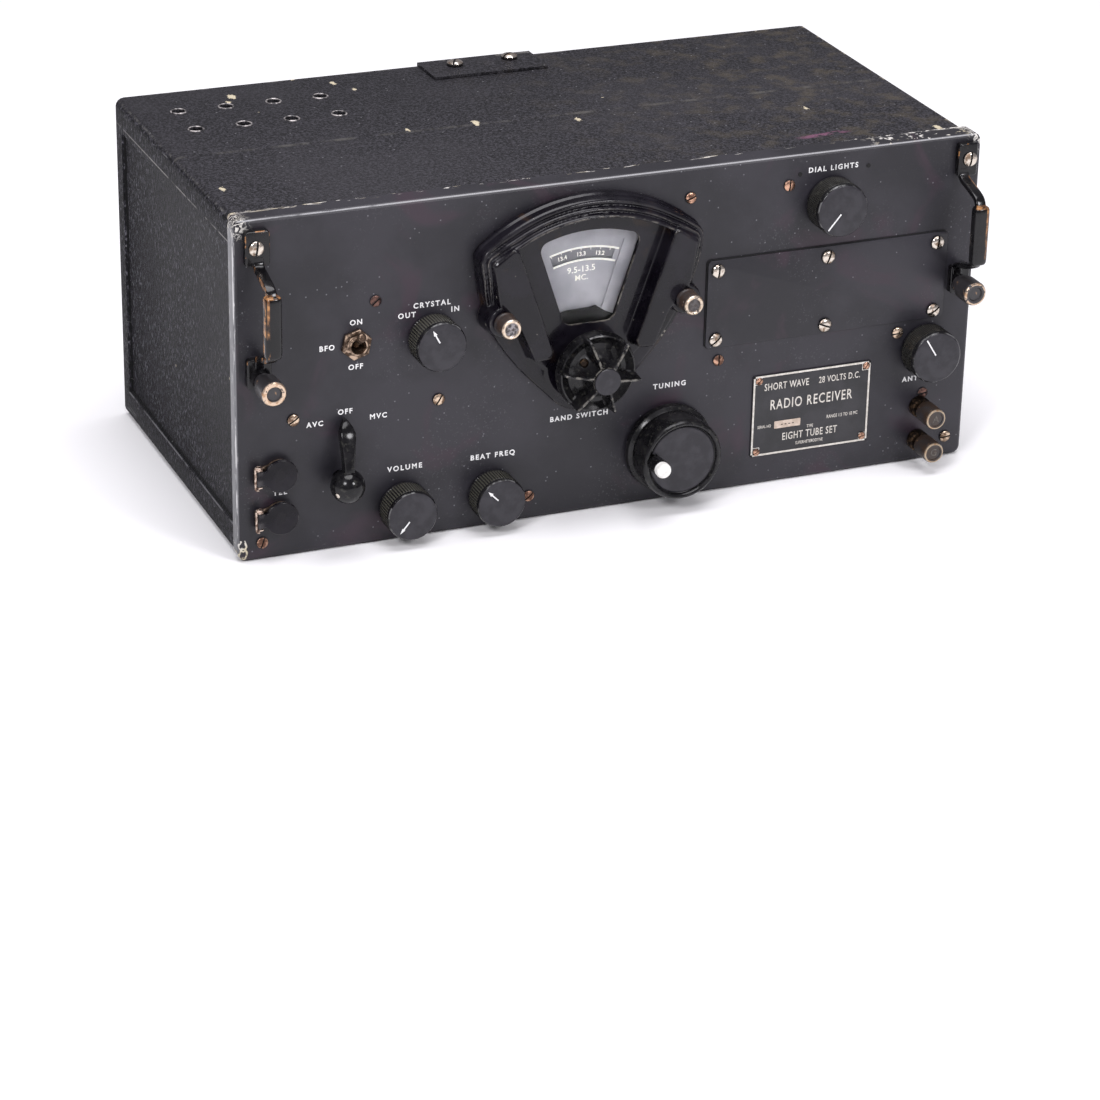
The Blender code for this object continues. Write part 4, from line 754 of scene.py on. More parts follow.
def wire(bm, path, radius, side=(1.0, 0.0, 0.0), sides=8):
    section = [(a, b) for a, b, _ in circle(radius, sides, 0)]
    sweep(bm, path, lambda i: section, side)


def superellipse(half_a, half_b, power=4.0, count=24):
    points = []
    for i in range(count):
        angle = 2 * math.pi * i / count
        a, b = math.cos(angle), math.sin(angle)
        points.append((half_a * math.copysign(abs(a) ** (2 / power), a),
                       half_b * math.copysign(abs(b) ** (2 / power), b)))
    return points


def turned_rectangle(centre, length, width, angle):
    turn = Matrix.Rotation(math.radians(angle), 2)
    return [tuple(Vector(centre) + turn @ Vector(corner))
            for corner in rectangle(-length / 2, -width / 2, length / 2, width / 2)]


def screws(name, spots, radius, base, rise, metal, place, body="chassis", replaces=(), slots=None):
    """Round-headed slotted screws at a few spots of one frame."""
    # black up to 0.42 of the head's rise: painted shade in the slot and round the head's foot
    material = worn_metal(f"{name}_finish", *metal, shade_height=base + rise * 0.42)
    bm = bmesh.new()
    cuts = bmesh.new()
    for i, spot in enumerate(spots):
        profile = [(radius * 0.9, base - 0.0006), (radius, base), (radius, base + rise * 0.35)]
        profile += [(radius * math.cos(t), base + rise * (0.35 + 0.65 * math.sin(t)))
                    for t in (0.35, 0.70, 1.05, 1.35)]
        turned(bm, profile, 28, spot)
        angle = slots[i] if slots else chance.uniform(0, 180)
        prism(cuts, turned_rectangle(spot, radius * 2.4, radius * 0.27, angle), base + rise * 0.20,
              base + rise * 2)
    obj = new_object(name, bm, place)
    boolean(obj, cuts)
    return finish_piece(obj, material, body, replaces)


def letters(bm, text, place, size, spacing=1.2, weight=0.014, thick=0.00012):
    """Raised lettering, centred on its frame."""
    curve = bpy.data.curves.new("text", "FONT")
    curve.body = text
    curve.space_character = spacing
    curve.offset = weight
    curve.extrude = thick / size / 2
    curve.resolution_u = 3
    curve.align_x = "CENTER"
    curve.align_y = "CENTER"
    holder = bpy.data.objects.new("text", curve)
    bpy.context.collection.objects.link(holder)
    bpy.context.view_layer.update()
    graph = bpy.context.evaluated_depsgraph_get()
    mesh = bpy.data.meshes.new_from_object(holder.evaluated_get(graph))
    bpy.data.objects.remove(holder)
    mesh.transform(place @ Matrix.Scale(size, 4))
    bm.from_mesh(mesh)
    bpy.data.meshes.remove(mesh)
    bmesh.ops.remove_doubles(bm, verts=bm.verts, dist=1e-7)


def at(u, v, h=0.0):
    return Matrix.Translation((u, v, h))


def depth_behind(node):
    """How far a node reaches behind the panel's face, as a height."""
    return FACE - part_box(node)[1].y


def height_of(node):
    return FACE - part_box(node)[0].y


# ---- gears --------------------------------------------------------------------------------
FIRST_STAGE = (-0.0230, -0.0170)       # heights of the two gear planes behind the panel
SECOND_STAGE = (-0.0305, -0.0245)
FIRST_PACK = height_of("gang_frame") - 0.0070                  # front of the rotor's first pack
PINION, WHEEL = (12, 0.0057, 0.0016), (84, 0.0417, 0.0017)     # teeth, radius of their tips, depth


def toothed(bm, gear, stage, bore):
    """Ring with teeth cut into its rim."""
    teeth, tip, depth = gear
    outer, inner = [], []
    for i in range(teeth):
        for share, radius in ((0.02, tip - depth), (0.36, tip - depth), (0.56, tip), (0.82, tip)):
            turn = 2 * math.pi * (i + share) / teeth
            outer.append((radius * math.cos(turn), radius * math.sin(turn)))
            inner.append((bore * math.cos(turn), bore * math.sin(turn)))
    low, high = stage
    rings = [[(u, v, h) for u, v in outline] for outline, h in
             ((inner, low), (outer, low), (outer, high), (inner, high))]
    loft(bm, rings, closed=True)


def gear_train():
    """Tuning pinion, idler, dial wheel and the tuning capacitor's rotor."""
    pinion = bmesh.new()
    turned(pinion, [(SHAFT, depth_behind("tuning_knob")), (SHAFT, 0.0005)], 32)
    toothed(pinion, PINION, FIRST_STAGE, SHAFT - 0.0004)
    piece("tuning_gear", pinion, panel_frame(AXIS["tuning"]), GEAR_BRASS, "tuning")

    idler = bmesh.new()
    arbor = 0.0025
    turned(idler, [(arbor, -0.0335), (arbor, SECOND_STAGE[1]), (0.0040, SECOND_STAGE[1]),
                   (0.0040, FIRST_STAGE[0]), (0.0070, FIRST_STAGE[0]), (0.0070, FIRST_STAGE[1] + 0.0008),
                   (arbor, FIRST_STAGE[1] + 0.0008), (arbor, FIRST_STAGE[1] + 0.0030)], 32)
    toothed(idler, PINION, SECOND_STAGE, arbor - 0.0004)
    toothed(idler, WHEEL, FIRST_STAGE, 0.0060)
    piece("idler_wheels", idler, panel_frame(AXIS["idler"]), GEAR_BRASS, "idler",
          ["idler_gear"])

    wheel = bmesh.new()
    toothed(wheel, WHEEL, SECOND_STAGE, 0.0049)
    piece("scale_gear", wheel, DIAL_FRAME, GEAR_BRASS, "dial")

    wheel = bmesh.new()
    toothed(wheel, WHEEL, SECOND_STAGE, SHAFT - 0.0004)
    piece("rotor_gear", wheel, panel_frame(AXIS["gang"]), GEAR_BRASS, "gang")
    rotor = bmesh.new()
    turned(rotor, [(SHAFT, depth_behind("gang_rotor")), (SHAFT, SECOND_STAGE[1] + 0.0030)], 32)
    packs, pitch, pack, plates = 4, 0.0250, 0.0160, 9
    thin = 0.0008
    outline = arc(0.0220, -90, 90, 24) + [(0.0040, -0.0035), (-0.0040, -0.0035)]
    for i in range(packs):
        top = FIRST_PACK - i * pitch
        for k in range(plates):
            low = top - pack + (pack - thin) * k / (plates - 1)
            prism(rotor, outline, low, low + thin)
    piece("rotor_plates", rotor, panel_frame(AXIS["gang"]), ALUMINIUM, "gang", ["gang_rotor"])


# ---- the dial's casting and what shows in its window --------------------------------------
DIAL_FRAME = panel_frame(DIAL)
LAMP = (AXIS["lamp_right"][0] - DIAL[0], AXIS["lamp_right"][1] - DIAL[1])
WINDOW_R = 0.081                       # top arc of the window, from the dial's axis
WINDOW_FOOT = 0.025
SLOT_R = 0.064                         # middle of the scale that shows
BEZEL = 0.0060                         # height of the casting's inner floor


def window(grow=0.0, corner=0.0058, slope=0.333):
    """Outline of the dial window, or one grown or shrunk all round."""
    low = WINDOW_FOOT - grow
    offset = 0.015 - WINDOW_FOOT * slope + grow * math.hypot(1, slope)
    radius = WINDOW_R + grow
    a, b, c = 1 + slope ** 2, 2 * offset * slope, offset ** 2 - radius ** 2
    high = (-b + math.sqrt(b * b - 4 * a * c)) / (2 * a)
    top = offset + slope * high
    angle = math.degrees(math.atan2(top, high))
    crown = arc(radius, angle * 0.80, -angle * 0.80, 24)
    right = rounded([(offset + slope * low, low), (top, high), crown[0]], [0, corner, 0], 6)[1:-1]
    left = mirrored(right)
    base = offset + slope * low
    foot = rounded([(-top, high), (-base, low), (base, low), (top, high)], [0, corner, corner, 0], 6)[1:-1]
    return foot + right + crown + left


def casting_edge():
    """Right half of the casting's outline, from the top of its side down to its foot."""
    corner = rounded([arc(0.102, 34, 34, 1)[0], (0.0698, 0.0752), (0.0676, 0.0600)], [0, 0.0110, 0], 12)
    side = smooth_path([(0.0676, 0.0600), (0.0654, 0.0480), (0.0584, 0.0260), (0.0418, 0.0020),
                        (0.0180, -0.0230)], 6)
    return corner[:-1] + [tuple(point) for point in side]


def rim_path():
    """The stretch of the outline that the terraced rim follows: from one lamp over the top to the other."""
    side = [point for point in casting_edge() if point[1] > 0.030]
    return mirrored(side) + arc(0.102, -33, 33, 60) + side


def terraced_rim(bm):
    section = [(0.0012, 0.0020), (0.0012, 0.0092), (0.0018, 0.0108), (0.0030, 0.0117), (0.0043, 0.0115),
               (0.0049, 0.0104), (0.0055, 0.0104), (0.0060, 0.0124), (0.0070, 0.0134), (0.0079, 0.0131),
               (0.0084, 0.0122), (0.0089, 0.0124), (0.0094, 0.0148), (0.0104, 0.0158), (0.0113, 0.0152),
               (0.0116, 0.0138), (0.0116, 0.0020)]
    path = [Vector(point) for point in rim_path()]
    count = len(path)
    rings = []
    for i, point in enumerate(path):
        tangent = (path[min(i + 1, count - 1)] - path[max(i - 1, 0)]).normalized()
        inward = Vector((tangent.y, -tangent.x))
        turn = abs(math.degrees(math.atan2(point.x, point.y)))
        narrow = 1.0 - 0.34 * min(1.0, max(0.0, (turn - 30) / 14))
        sink = 1.0 - 0.55 * min(1.0, max(0.0, (turn - 48) / 12))
        ring = []
        for across, height in section:
            place = point + inward * across * narrow
            ring.append((place.x, place.y, 0.0020 + (height - 0.0020) * sink))
        rings.append(ring)
    loft(bm, rings)


def cheek(bm, side):
    base = [(0.0630, 0.0710), (0.0475, 0.0815), (0.0236, 0.0140), (0.0250, 0.0082), (0.0380, 0.0078),
            (0.0470, 0.0290), (0.0600, 0.0440)]
    top = [(0.0622, 0.0705), (0.0482, 0.0805), (0.0252, 0.0146), (0.0266, 0.0100), (0.0366, 0.0096),
           (0.0452, 0.0300), (0.0586, 0.0462)]
    radii = [0.004, 0.003, 0.003, 0.0035, 0.003, 0.008, 0.006]
    low, high = rounded(base, radii, 5), rounded(top, radii, 5)
    if side < 0:
        low, high = mirrored(low), mirrored(high)
    rings = [[(u, v, 0.0010) for u, v in low]]
    for k in range(4):
        t = math.sin(math.pi / 2 * k / 3)
        shrink = 0.0016 * (1 - math.cos(math.pi / 2 * k / 3))
        ring = inset(anticlockwise(high), shrink)
        rings.append([(u, v, 0.0156 + 0.0014 * t) for u, v in ring])
    rings[0] = [(u, v, 0.0010) for u, v in anticlockwise(low)]
    loft(bm, rings)


def dial_casting():
    bm = bmesh.new()
    right = casting_edge()
    outline = arc(0.102, -33, 33, 60) + right + arc(0.0292, 146, 214, 14)[1:-1] + mirrored(right)
    prism(bm, outline, GAP, 0.0044, 0.0014, 3)
    inner = [(u * 0.93, v * 0.93 + 0.0005) for u, v in outline]
    prism(bm, inner, 0.0008, 0.0052, 0.0010, 2)
    prism(bm, arc(0.0930, -36, 36, 40) + [(0.0400, 0.0140)] + arc(0.0252, 90, 270, 24) + [(-0.0400, 0.0140)],
          0.0008, BEZEL)
    terraced_rim(bm)
    for side in (-1, 1):
        cheek(bm, side)
        centre = (side * LAMP[0], LAMP[1])
        turned(bm, [(0.0106, 0.0012), (0.0096, 0.0100), (0.0092, 0.0150), (0.0084, 0.0162)], 40, centre)
    obj = new_object("dial_casting", bm, DIAL_FRAME)
    fuse(obj, 0.00055, 3)
    cuts = bmesh.new()
    prism(cuts, window(), -0.002, 0.020)
    turned(cuts, [(0.0062, -0.002), (0.0062, 0.020)], 32)
    for side in (-1, 1):
        turned(cuts, [(0.0038, 0.0050), (0.0038, 0.0200)], 24, (side * LAMP[0], LAMP[1]))
    boolean(obj, cuts)
    pocket = bmesh.new()
    prism(pocket, window(0.0024), -0.002, 0.0045)
    boolean(obj, pocket)
    finish_piece(obj, CASTING, "chassis", ["dial_housing"], 50)


def dial_pane():
    flat_piece("dial_pane", window(0.0020), 0.0026, 0.0042, 0.0003, DIAL_FRAME, GLASS, "chassis",
               ["dial_window"])


def window_frame():
    """Pale frame behind the glass, and a black plate at its foot that paints the shade under the window's lower
    edge.
    """
    bm = bmesh.new()
    prism(bm, window(0.0016), -0.0017, -0.0011)
    obj = new_object("window_frame", bm, DIAL_FRAME)
    hole = bmesh.new()
    prism(hole, window(-0.0062, 0.0015), -0.004, 0.004)
    boolean(obj, hole)
    finish_piece(obj, GREY, "chassis")
    # black plate at the window's foot: painted shade below the window's lower edge
    crest = [(-0.0195, 0.0335), (-0.0158, 0.0305), (-0.0110, 0.0318), (0.0020, 0.0322), (0.0065, 0.0330),
             (0.0120, 0.0290), (0.0180, 0.0262)]
    foot = [(0.0160, 0.0236), (-0.0160, 0.0236)] + crest
    flat_piece("window_foot", foot, -0.0009, 0.0022, 0.0003, DIAL_FRAME, DARK, "chassis")


BANDS = ("200-500", "1.5-3.5", "3.5-6.0", "6.0-9.5", "9.5-13.5", "13.5-18")
SHOWN = 4                              # index of the band in the window
BAND_STEP = 60


def band_radius(band):
    return SLOT_R + 0.006 * (band - SHOWN)


def band_mask():
    """Disc that turns with the band switch: an arc slot, two white lines and a legend for each band."""
    bm = bmesh.new()
    turned_ring(bm, [(0.0034, -0.0031), (0.0760, -0.0031), (0.0760, -0.0024), (0.0034, -0.0024)], 96)
    mask = new_object("mask_disc", bm, DIAL_FRAME)
    slots = bmesh.new()
    lines = bmesh.new()
    for band in range(len(BANDS)):
        radius, centre = band_radius(band), BAND_STEP * (SHOWN - band)
        prism(slots, arc(radius + 0.0033, centre - 19, centre + 16, 24)
              + arc(radius - 0.0033, centre + 16, centre - 19, 24), -0.005, 0.0)
        for r in (radius - 0.0037, radius + 0.0037):
            prism(lines, arc(r + 0.00055, centre - 21, centre + 18, 30)
                  + arc(r - 0.00055, centre + 18, centre - 21, 30), -0.0025, -0.00225)
        turn = Matrix.Rotation(math.radians(-centre + 2), 4, "Z")
        letters(lines, BANDS[band], turn @ at(0, radius - 0.0092, -0.0023), 0.0050, 1.05, 0.014)
        unit = "KC." if band == 0 else "MC."
        letters(lines, unit, turn @ at(0, radius - 0.0142, -0.0023), 0.0046, 1.05, 0.010)
    boolean(mask, slots)
    finish_piece(mask, GREY, "band_selector", ["band_mask"])
    piece("mask_legends", lines, DIAL_FRAME, GLOWING_LETTER, "band_selector")


def dial_disc():
    """Scale disc with its ticks and figures, on the sleeve of the dial gear."""
    bm = bmesh.new()
    sleeve_end = SECOND_STAGE[0] - 0.0010
    turned_ring(bm, [(0.0034, -0.0038), (0.0034, sleeve_end), (0.0052, sleeve_end), (0.0052, -0.0048),
                     (0.0740, -0.0048), (0.0740, -0.0038)], 96)
    piece("scale_disc", bm, DIAL_FRAME, SCALE, "dial", ["dial_disc"])
    marks = bmesh.new()
    for band in range(len(BANDS)):
        radius = band_radius(band)
        for i in range(-5, 6):
            angle = BAND_STEP * (SHOWN - band) + i * 5.2 - 1.5
            turn = Matrix.Rotation(math.radians(-angle), 4, "Z")
            bar = rectangle(-0.00018, radius + 0.0014, 0.00018, radius + 0.0031)
            tick = [turn @ Vector((u, v, 0)) for u, v in bar]
            prism(marks, [(p.x, p.y) for p in tick], -0.0039, -0.0037)
            if i % 2 == 0:
                figure = f"{13.3 - 0.1 * i / 2:.1f}"
                letters(marks, figure, turn @ at(0, radius - 0.0008, -0.0037), 0.0034, 1.0, 0.02)
    piece("scale_figures", marks, DIAL_FRAME, GLOWING_LETTER, "dial")


# ---- knobs --------------------------------------------------------------------------------
def ribbed_knob(name, node, body, radius, angle, arrow, ribs=58, diamond=False):
    """Round knob with a ribbed or diamond-cut grip and a white pointer on its face."""
    steps = 4
    count = ribs * steps
    shaft_end = depth_behind(node)
    groove = [0, 0, 1, 1]
    profile = [(SHAFT / radius, shaft_end, 0), (SHAFT / radius, 0.0012, 0), (0.985, 0.0012, 0),
               (1.000, 0.0020, 0)]
    rows = 12 if diamond else 2
    for k in range(rows + 1):
        profile.append((1.000, 0.0024 + 0.0114 * k / rows, 1))
    profile += [(0.985, 0.0141, 0), (0.980, 0.0152, 0), (0.958, 0.0162, 0), (0.925, 0.0167, 0),
                (0.880, 0.0169, 0), (0.300, 0.0169, 0)]
    bm = bmesh.new()
    rings = []
    for row, (share, height, textured) in enumerate(profile):
        ring = []
        for i in range(count):
            turn = 2 * math.pi * i / count
            r = radius * share
            if textured and diamond:
                wave = math.sin(ribs * turn + row * math.pi / 2) * math.sin(ribs * turn - row * math.pi / 2)
                r -= 0.00022 * (1 - wave)
            elif textured:
                r -= 0.00042 * groove[i % steps]
            ring.append((r * math.cos(turn), r * math.sin(turn), height))
        rings.append(ring)
    loft(bm, rings)
    place = turned_frame(AXIS[body], angle)
    finish = bakelite(f"{name}_bakelite", 0.0167, grip=radius, dust_share=0.22 if diamond else 0.7)
    piece(f"{name}_body", bm, place, finish, body, [node], 28)
    face = 0.0169
    if arrow:
        low, high, head = radius * 0.24, radius * 0.82, radius * 0.60
        outline = [(-0.00040, low), (0.00040, low), (0.00040, head), (0.00105, head), (0.0, high),
                   (-0.00105, head), (-0.00040, head)]
    else:
        outline = rectangle(-0.00040, radius * 0.14, 0.00040, radius * 0.88)
    flat_piece(f"{name}_pointer", outline, face - 0.0002, face + 0.00015, 0.0, place, LETTER, body)


BAND_KNOB_TURN = -20                   # degrees from upright to one of its fins


def finned_knob():
    """Band switch knob: six thin fins run from a flat hub out to points, with scoops between."""
    fins = 6
    half_pitch = [0.0, 0.9, 1.7, 2.5, 3.6, 5.2, 7.5, 11.0, 16.0, 23.0]
    offsets = [-30.0] + [-turn for turn in reversed(half_pitch[1:])] + half_pitch
    turns = [(fin * 360 / fins + offset, abs(offset)) for fin in range(fins) for offset in offsets]

    def shape(radius_scoop, radius_fin, h_scoop, h_fin):
        """One ring: its points lie at the scoop's radius and height, or on a fin at the fin's."""
        thin = math.degrees(0.0005 / radius_fin)
        foot = math.degrees(0.0018 / radius_fin)
        ring = []
        for turn, offset in turns:
            share = min(1.0, max(0.0, 1.0 - (offset - thin) / foot))
            rise = share * share * (3 - 2 * share)
            r = radius_scoop + (radius_fin - radius_scoop) * share
            angle = math.radians(turn)
            ring.append((r * math.sin(angle), r * math.cos(angle), h_scoop + (h_fin - h_scoop) * rise))
        return ring

    def plain(radius, height):
        return shape(radius, radius, height, height)

    bm = bmesh.new()
    rings = [plain(SHAFT, depth_behind("band_switch_knob")), plain(SHAFT, 0.0140), plain(0.0228, 0.0140),
             plain(0.0238, 0.0150), plain(0.0240, 0.0180)]
    for scoop_and_fin in ((0.0232, 0.0240, 0.0200, 0.0206), (0.0228, 0.0241, 0.0212, 0.0250),
                          (0.0220, 0.0240, 0.0216, 0.0284), (0.0205, 0.0232, 0.0206, 0.0294),
                          (0.0178, 0.0205, 0.0196, 0.0304), (0.0148, 0.0168, 0.0200, 0.0314),
                          (0.0120, 0.0132, 0.0222, 0.0322), (0.0098, 0.0104, 0.0258, 0.0330),
                          (0.0085, 0.0086, 0.0300, 0.0334)):
        rings.append(shape(*scoop_and_fin))
    rings += [plain(0.0079, 0.0334), plain(0.0079, 0.0353), plain(0.0076, 0.0359), plain(0.0070, 0.0360)]
    loft(bm, rings)
    place = turned_frame(DIAL, BAND_KNOB_TURN)
    obj = new_object("finned_knob", bm, place)
    drill = bmesh.new()
    sideways = Matrix.Rotation(math.radians(30), 4, "Z") @ at(0, 0.0135, 0.0240)
    sideways = sideways @ Matrix.Rotation(math.radians(-38), 4, "X")
    turned(drill, [(0.0028, -0.0060), (0.0028, 0.0140)], 24)
    boolean(obj, drill, "DIFFERENCE", place @ sideways)
    finish_piece(obj, HUBBED, "band_selector", ["band_switch_knob"], 24)
    turned_piece("finned_knob_screw", [(0.0024, -0.0058), (0.0024, -0.0020), (0.0016, -0.0014)], 20,
                 place @ sideways, BRASS, "band_selector")


def tuning_knob():
    centre = AXIS["tuning"]
    bm = bmesh.new()
    profile = [(SHAFT, 0.0), (SHAFT, 0.0015), (0.0262, 0.0015), (0.0269, 0.0024),
               (0.0270, 0.0040), (0.0266, 0.0060), (0.0252, 0.0071), (0.0246, 0.0078), (0.0247, 0.0140),
               (0.0248, 0.0200), (0.0247, 0.0222), (0.0243, 0.0238), (0.0235, 0.0248), (0.0226, 0.0251),
               (0.0217, 0.0248), (0.0211, 0.0240), (0.0209, 0.0232), (0.0205, 0.0230), (0.0202, 0.0234),
               (0.0196, 0.0238), (0.0100, 0.0239)]
    turned(bm, profile, 128)
    obj = new_object("tuning_grip", bm, panel_frame(centre))
    crank = AXIS["crank"]
    bore(obj, [(0.0044, 0.0200), (0.0044, 0.0300)], 32, (crank[0] - centre[0], crank[1] - centre[1]))
    finish_piece(obj, BIG_KNOB, "tuning", ["tuning_knob"], 30)
    stem = [(0.0030, 0.0204), (0.0030, 0.0252), (0.0041, 0.0255), (0.0045, 0.0262), (0.0047, 0.0300),
            (0.0046, 0.0352), (0.0043, 0.0356)]
    turned_piece("crank_stem", stem, 40, panel_frame(crank), BAKELITE, "crank", ["crank_spinner"])
    button = [(0.0040, 0.0354), (0.0045, 0.0356), (0.0046, 0.0384), (0.0042, 0.0394), (0.0034, 0.0399),
              (0.0020, 0.0401)]
    turned_piece("crank_button", button, 40, panel_frame(crank), IVORY, "crank")


def mode_lever():
    """Glossy ball with a bar that swells and ends in a point."""
    place = turned_frame(AXIS["mode"], 3.7)
    radius, centre = 0.0099, 0.0140
    profile = [(SHAFT, depth_behind("mode_lever")), (SHAFT, 0.0046)]
    for i in range(13):
        angle = math.radians(-66 + 12 * i)
        profile.append((max(0.0008, radius * math.cos(angle)), centre + radius * math.sin(angle)))
    bm = bmesh.new()
    turned(bm, profile, 64)
    sections = ((0.0000, 0.0030, 0.0105, 0.0180), (0.0060, 0.0030, 0.0102, 0.0180),
                (0.0120, 0.0031, 0.0088, 0.0166), (0.0200, 0.0038, 0.0066, 0.0146),
                (0.0270, 0.0046, 0.0050, 0.0120), (0.0300, 0.0047, 0.0042, 0.0104),
                (0.0330, 0.0034, 0.0032, 0.0080), (0.0352, 0.0018, 0.0022, 0.0050),
                (0.0364, 0.0006, 0.0014, 0.0028))
    rings = []
    for v, half, low, high in sections:
        ring = superellipse(half, (high - low) / 2, 5.0, 20)
        rings.append([(a, v, (low + high) / 2 + b) for a, b in ring])
    loft(bm, rings)
    piece("mode_lever_arm", bm, place, GLOSS, "mode", ["mode_lever"], 40)
    aim = Matrix.Rotation(math.radians(-55), 4, "Y") @ Matrix.Rotation(math.radians(18), 4, "X")
    turned_piece("mode_lever_screw", [(0.0015, -0.0006), (0.0015, 0.0003), (0.0010, 0.0005)], 20,
                 place @ at(0, 0, centre) @ aim @ at(0, 0, radius - 0.0001), NICKEL, "mode")


# ---- handles, caps and switches -----------------------------------------------------------
def handle(label, grip_u):
    """Two foot blocks and a strap that runs out to a thicker, flat-fronted grip."""
    node = f"handle_{label}"
    low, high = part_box(node)
    side = -1 if label == "left" else 1
    thumb = AXIS[f"thumb_{label}"]
    u_low, u_high = low.x + 0.0020, high.x - 0.0020
    u_high = min(u_high, u_low + 0.0140) if side < 0 else u_high
    v_foot, v_top = low.z, high.z
    reach = 0.0270
    bm = bmesh.new()
    half_path = [(v_top - 0.0150, 0.0030), (v_top - 0.0185, 0.0034), (v_top - 0.0212, 0.0058),
                 (v_top - 0.0232, 0.0120), (v_top - 0.0256, 0.0200), (v_top - 0.0280, 0.0245),
                 (v_top - 0.0330, reach)]
    foot_path = [(v_foot + v_top - v - 0.0030, h) for v, h in reversed(half_path)]
    path = [(grip_u, p.x, p.y) for p in smooth_path(half_path, 5) + smooth_path(foot_path, 5)]
    wire_section = superellipse(0.0031, 0.0017, 5.0, 20)
    sweep(bm, path, lambda i: wire_section)
    grip_low = v_foot + 0.0262
    taper = [(0.0, 0.70), (0.0004, 0.86), (0.0016, 0.97), (0.0040, 1.0)]
    stations = [(GRIP_TOP - away, share) for away, share in taper]
    stations += [(grip_low + away, share) for away, share in reversed(taper)]
    sections = [superellipse(0.0050 * share, 0.0040 * share, 2.9, 32) for _, share in stations]
    sweep(bm, [(grip_u, v, reach) for v, _ in stations], lambda i: sections[i])
    for v0, v1 in ((v_top - 0.0200, v_top), (v_foot, v_foot + 0.0170)):
        prism(bm, rectangle(u_low, v0, u_high, v1, 0.0016, 4), GAP, 0.0044, 0.0008, 3)
    obj = new_object(f"{node}_strap", bm, panel_frame((0, 0)))
    bore(obj, [(0.0042, -0.002), (0.0042, 0.010)], 32, thumb, overlapping=True)
    finish_piece(obj, STRAP, "chassis", [node], 40)
    spot = ((u_low + u_high) / 2 + side * 0.0010, v_top - 0.0095)
    screws(f"{node}_screw", [spot], 0.0044, 0.0044, 0.0022, NICKEL_METAL, panel_frame((0, 0)),
           slots=[82])


def thumb_screw(label):
    """Straight-knurled thumb screw, its head dished in the middle."""
    body = f"thumb_{label}"
    bm = bmesh.new()
    profile = [(SHAFT, depth_behind("thumb_screw_" + label), 0), (SHAFT, 0.0048, 0), (0.0052, 0.0048, 0),
               (0.0052, 0.0100, 0), (0.0064, 0.0104, 0), (0.0072, 0.0112, 0), (0.0073, 0.0122, 1),
               (0.0073, 0.0216, 1), (0.0073, 0.0228, 0), (0.0070, 0.0238, 0), (0.0064, 0.0244, 0),
               (0.0052, 0.0245, 0), (0.0044, 0.0243, 0), (0.0040, 0.0236, 0), (0.0038, 0.0232, 0),
               (0.0015, 0.0232, 0)]
    knurled(bm, profile, 120, 0.00016)
    ring, breaks = (0.0027, 0.36) if label == "left" else (0.0014, 0.62)
    cap = worn_cap(f"{body}_finish", 0.0073, ring, 0.0245, (0.62, 0.47, 0.35), (0.024, 0.022, 0.024), breaks)
    piece(f"{body}_head", bm, panel_frame(AXIS[body]), cap, body, ["thumb_screw_" + label], 30)


def lamp_cap(label):
    body = f"lamp_{label}"
    profile = [(0.0032, 0.0060), (0.0032, 0.0164), (0.0060, 0.0164), (0.0066, 0.0170), (0.0066, 0.0182),
               (0.0061, 0.0190), (0.0060, 0.0200), (0.0061, 0.0262), (0.0058, 0.0272), (0.0052, 0.0278),
               (0.0044, 0.0278), (0.0039, 0.0275), (0.0036, 0.0268), (0.0034, 0.0266), (0.0012, 0.0266)]
    breaks, frost = (0.30, 0.8) if label == "left" else (0.52, 0.15)
    cap = worn_cap(f"{body}_finish", 0.0061, 0.0022, 0.0278, (0.64, 0.53, 0.42), (0.040, 0.026, 0.020),
                   breaks, frost)
    turned_piece(f"{body}_head", profile, 72, panel_frame(AXIS[body]), cap, body,
                 ["lamp_cap_" + label], 30)


TOGGLE = middle("toggle_body")


def toggle_switch():
    place = panel_frame(TOGGLE)
    bm = bmesh.new()
    nut = arc(0.0093, 12, 312, 5)
    prism(bm, rounded(anticlockwise(nut), [0.0008] * 6, 4), GAP, 0.0024, 0.0005, 3)
    profile = [(0.0058, -0.0060)]
    for k in range(6):
        profile += [(0.0058, 0.0022 + 0.00045 * k), (0.0055, 0.0022 + 0.00045 * k + 0.00022)]
    turned(bm, profile + [(0.0053, 0.0050)], 48)
    block(bm, (-0.0090, -0.0140, -0.0220), (0.0090, 0.0140, -0.0040))
    obj = new_object("toggle_nut", bm, place)
    bore(obj, [(0.0027, -0.0030), (0.0030, -0.0005), (0.0046, 0.0052), (0.0050, 0.0062)], 40,
         overlapping=True)
    finish_piece(obj, SWITCH, "chassis", ["toggle_body"], 35)
    bat = [(0.0008, -0.0017), (0.0016, -0.0012), (0.0019, -0.0004), (0.0018, 0.0008), (0.0014, 0.0018),
           (0.0015, 0.0035), (0.0020, 0.0082), (0.0025, 0.0108), (0.0026, 0.0118), (0.0023, 0.0130),
           (0.0015, 0.0138), (0.0006, 0.0140)]
    tilt = Matrix.Rotation(math.radians(-38), 4, "X")
    turned_piece("toggle_bat", bat, 36, panel_frame(TOGGLE, 0.0005) @ tilt, SWITCH, "toggle",
                 ["toggle_lever"], 50)


PIN_U, PIN_H = -0.0130, 0.0050         # a dust cover's hinge pin, from the jack's axis and the panel


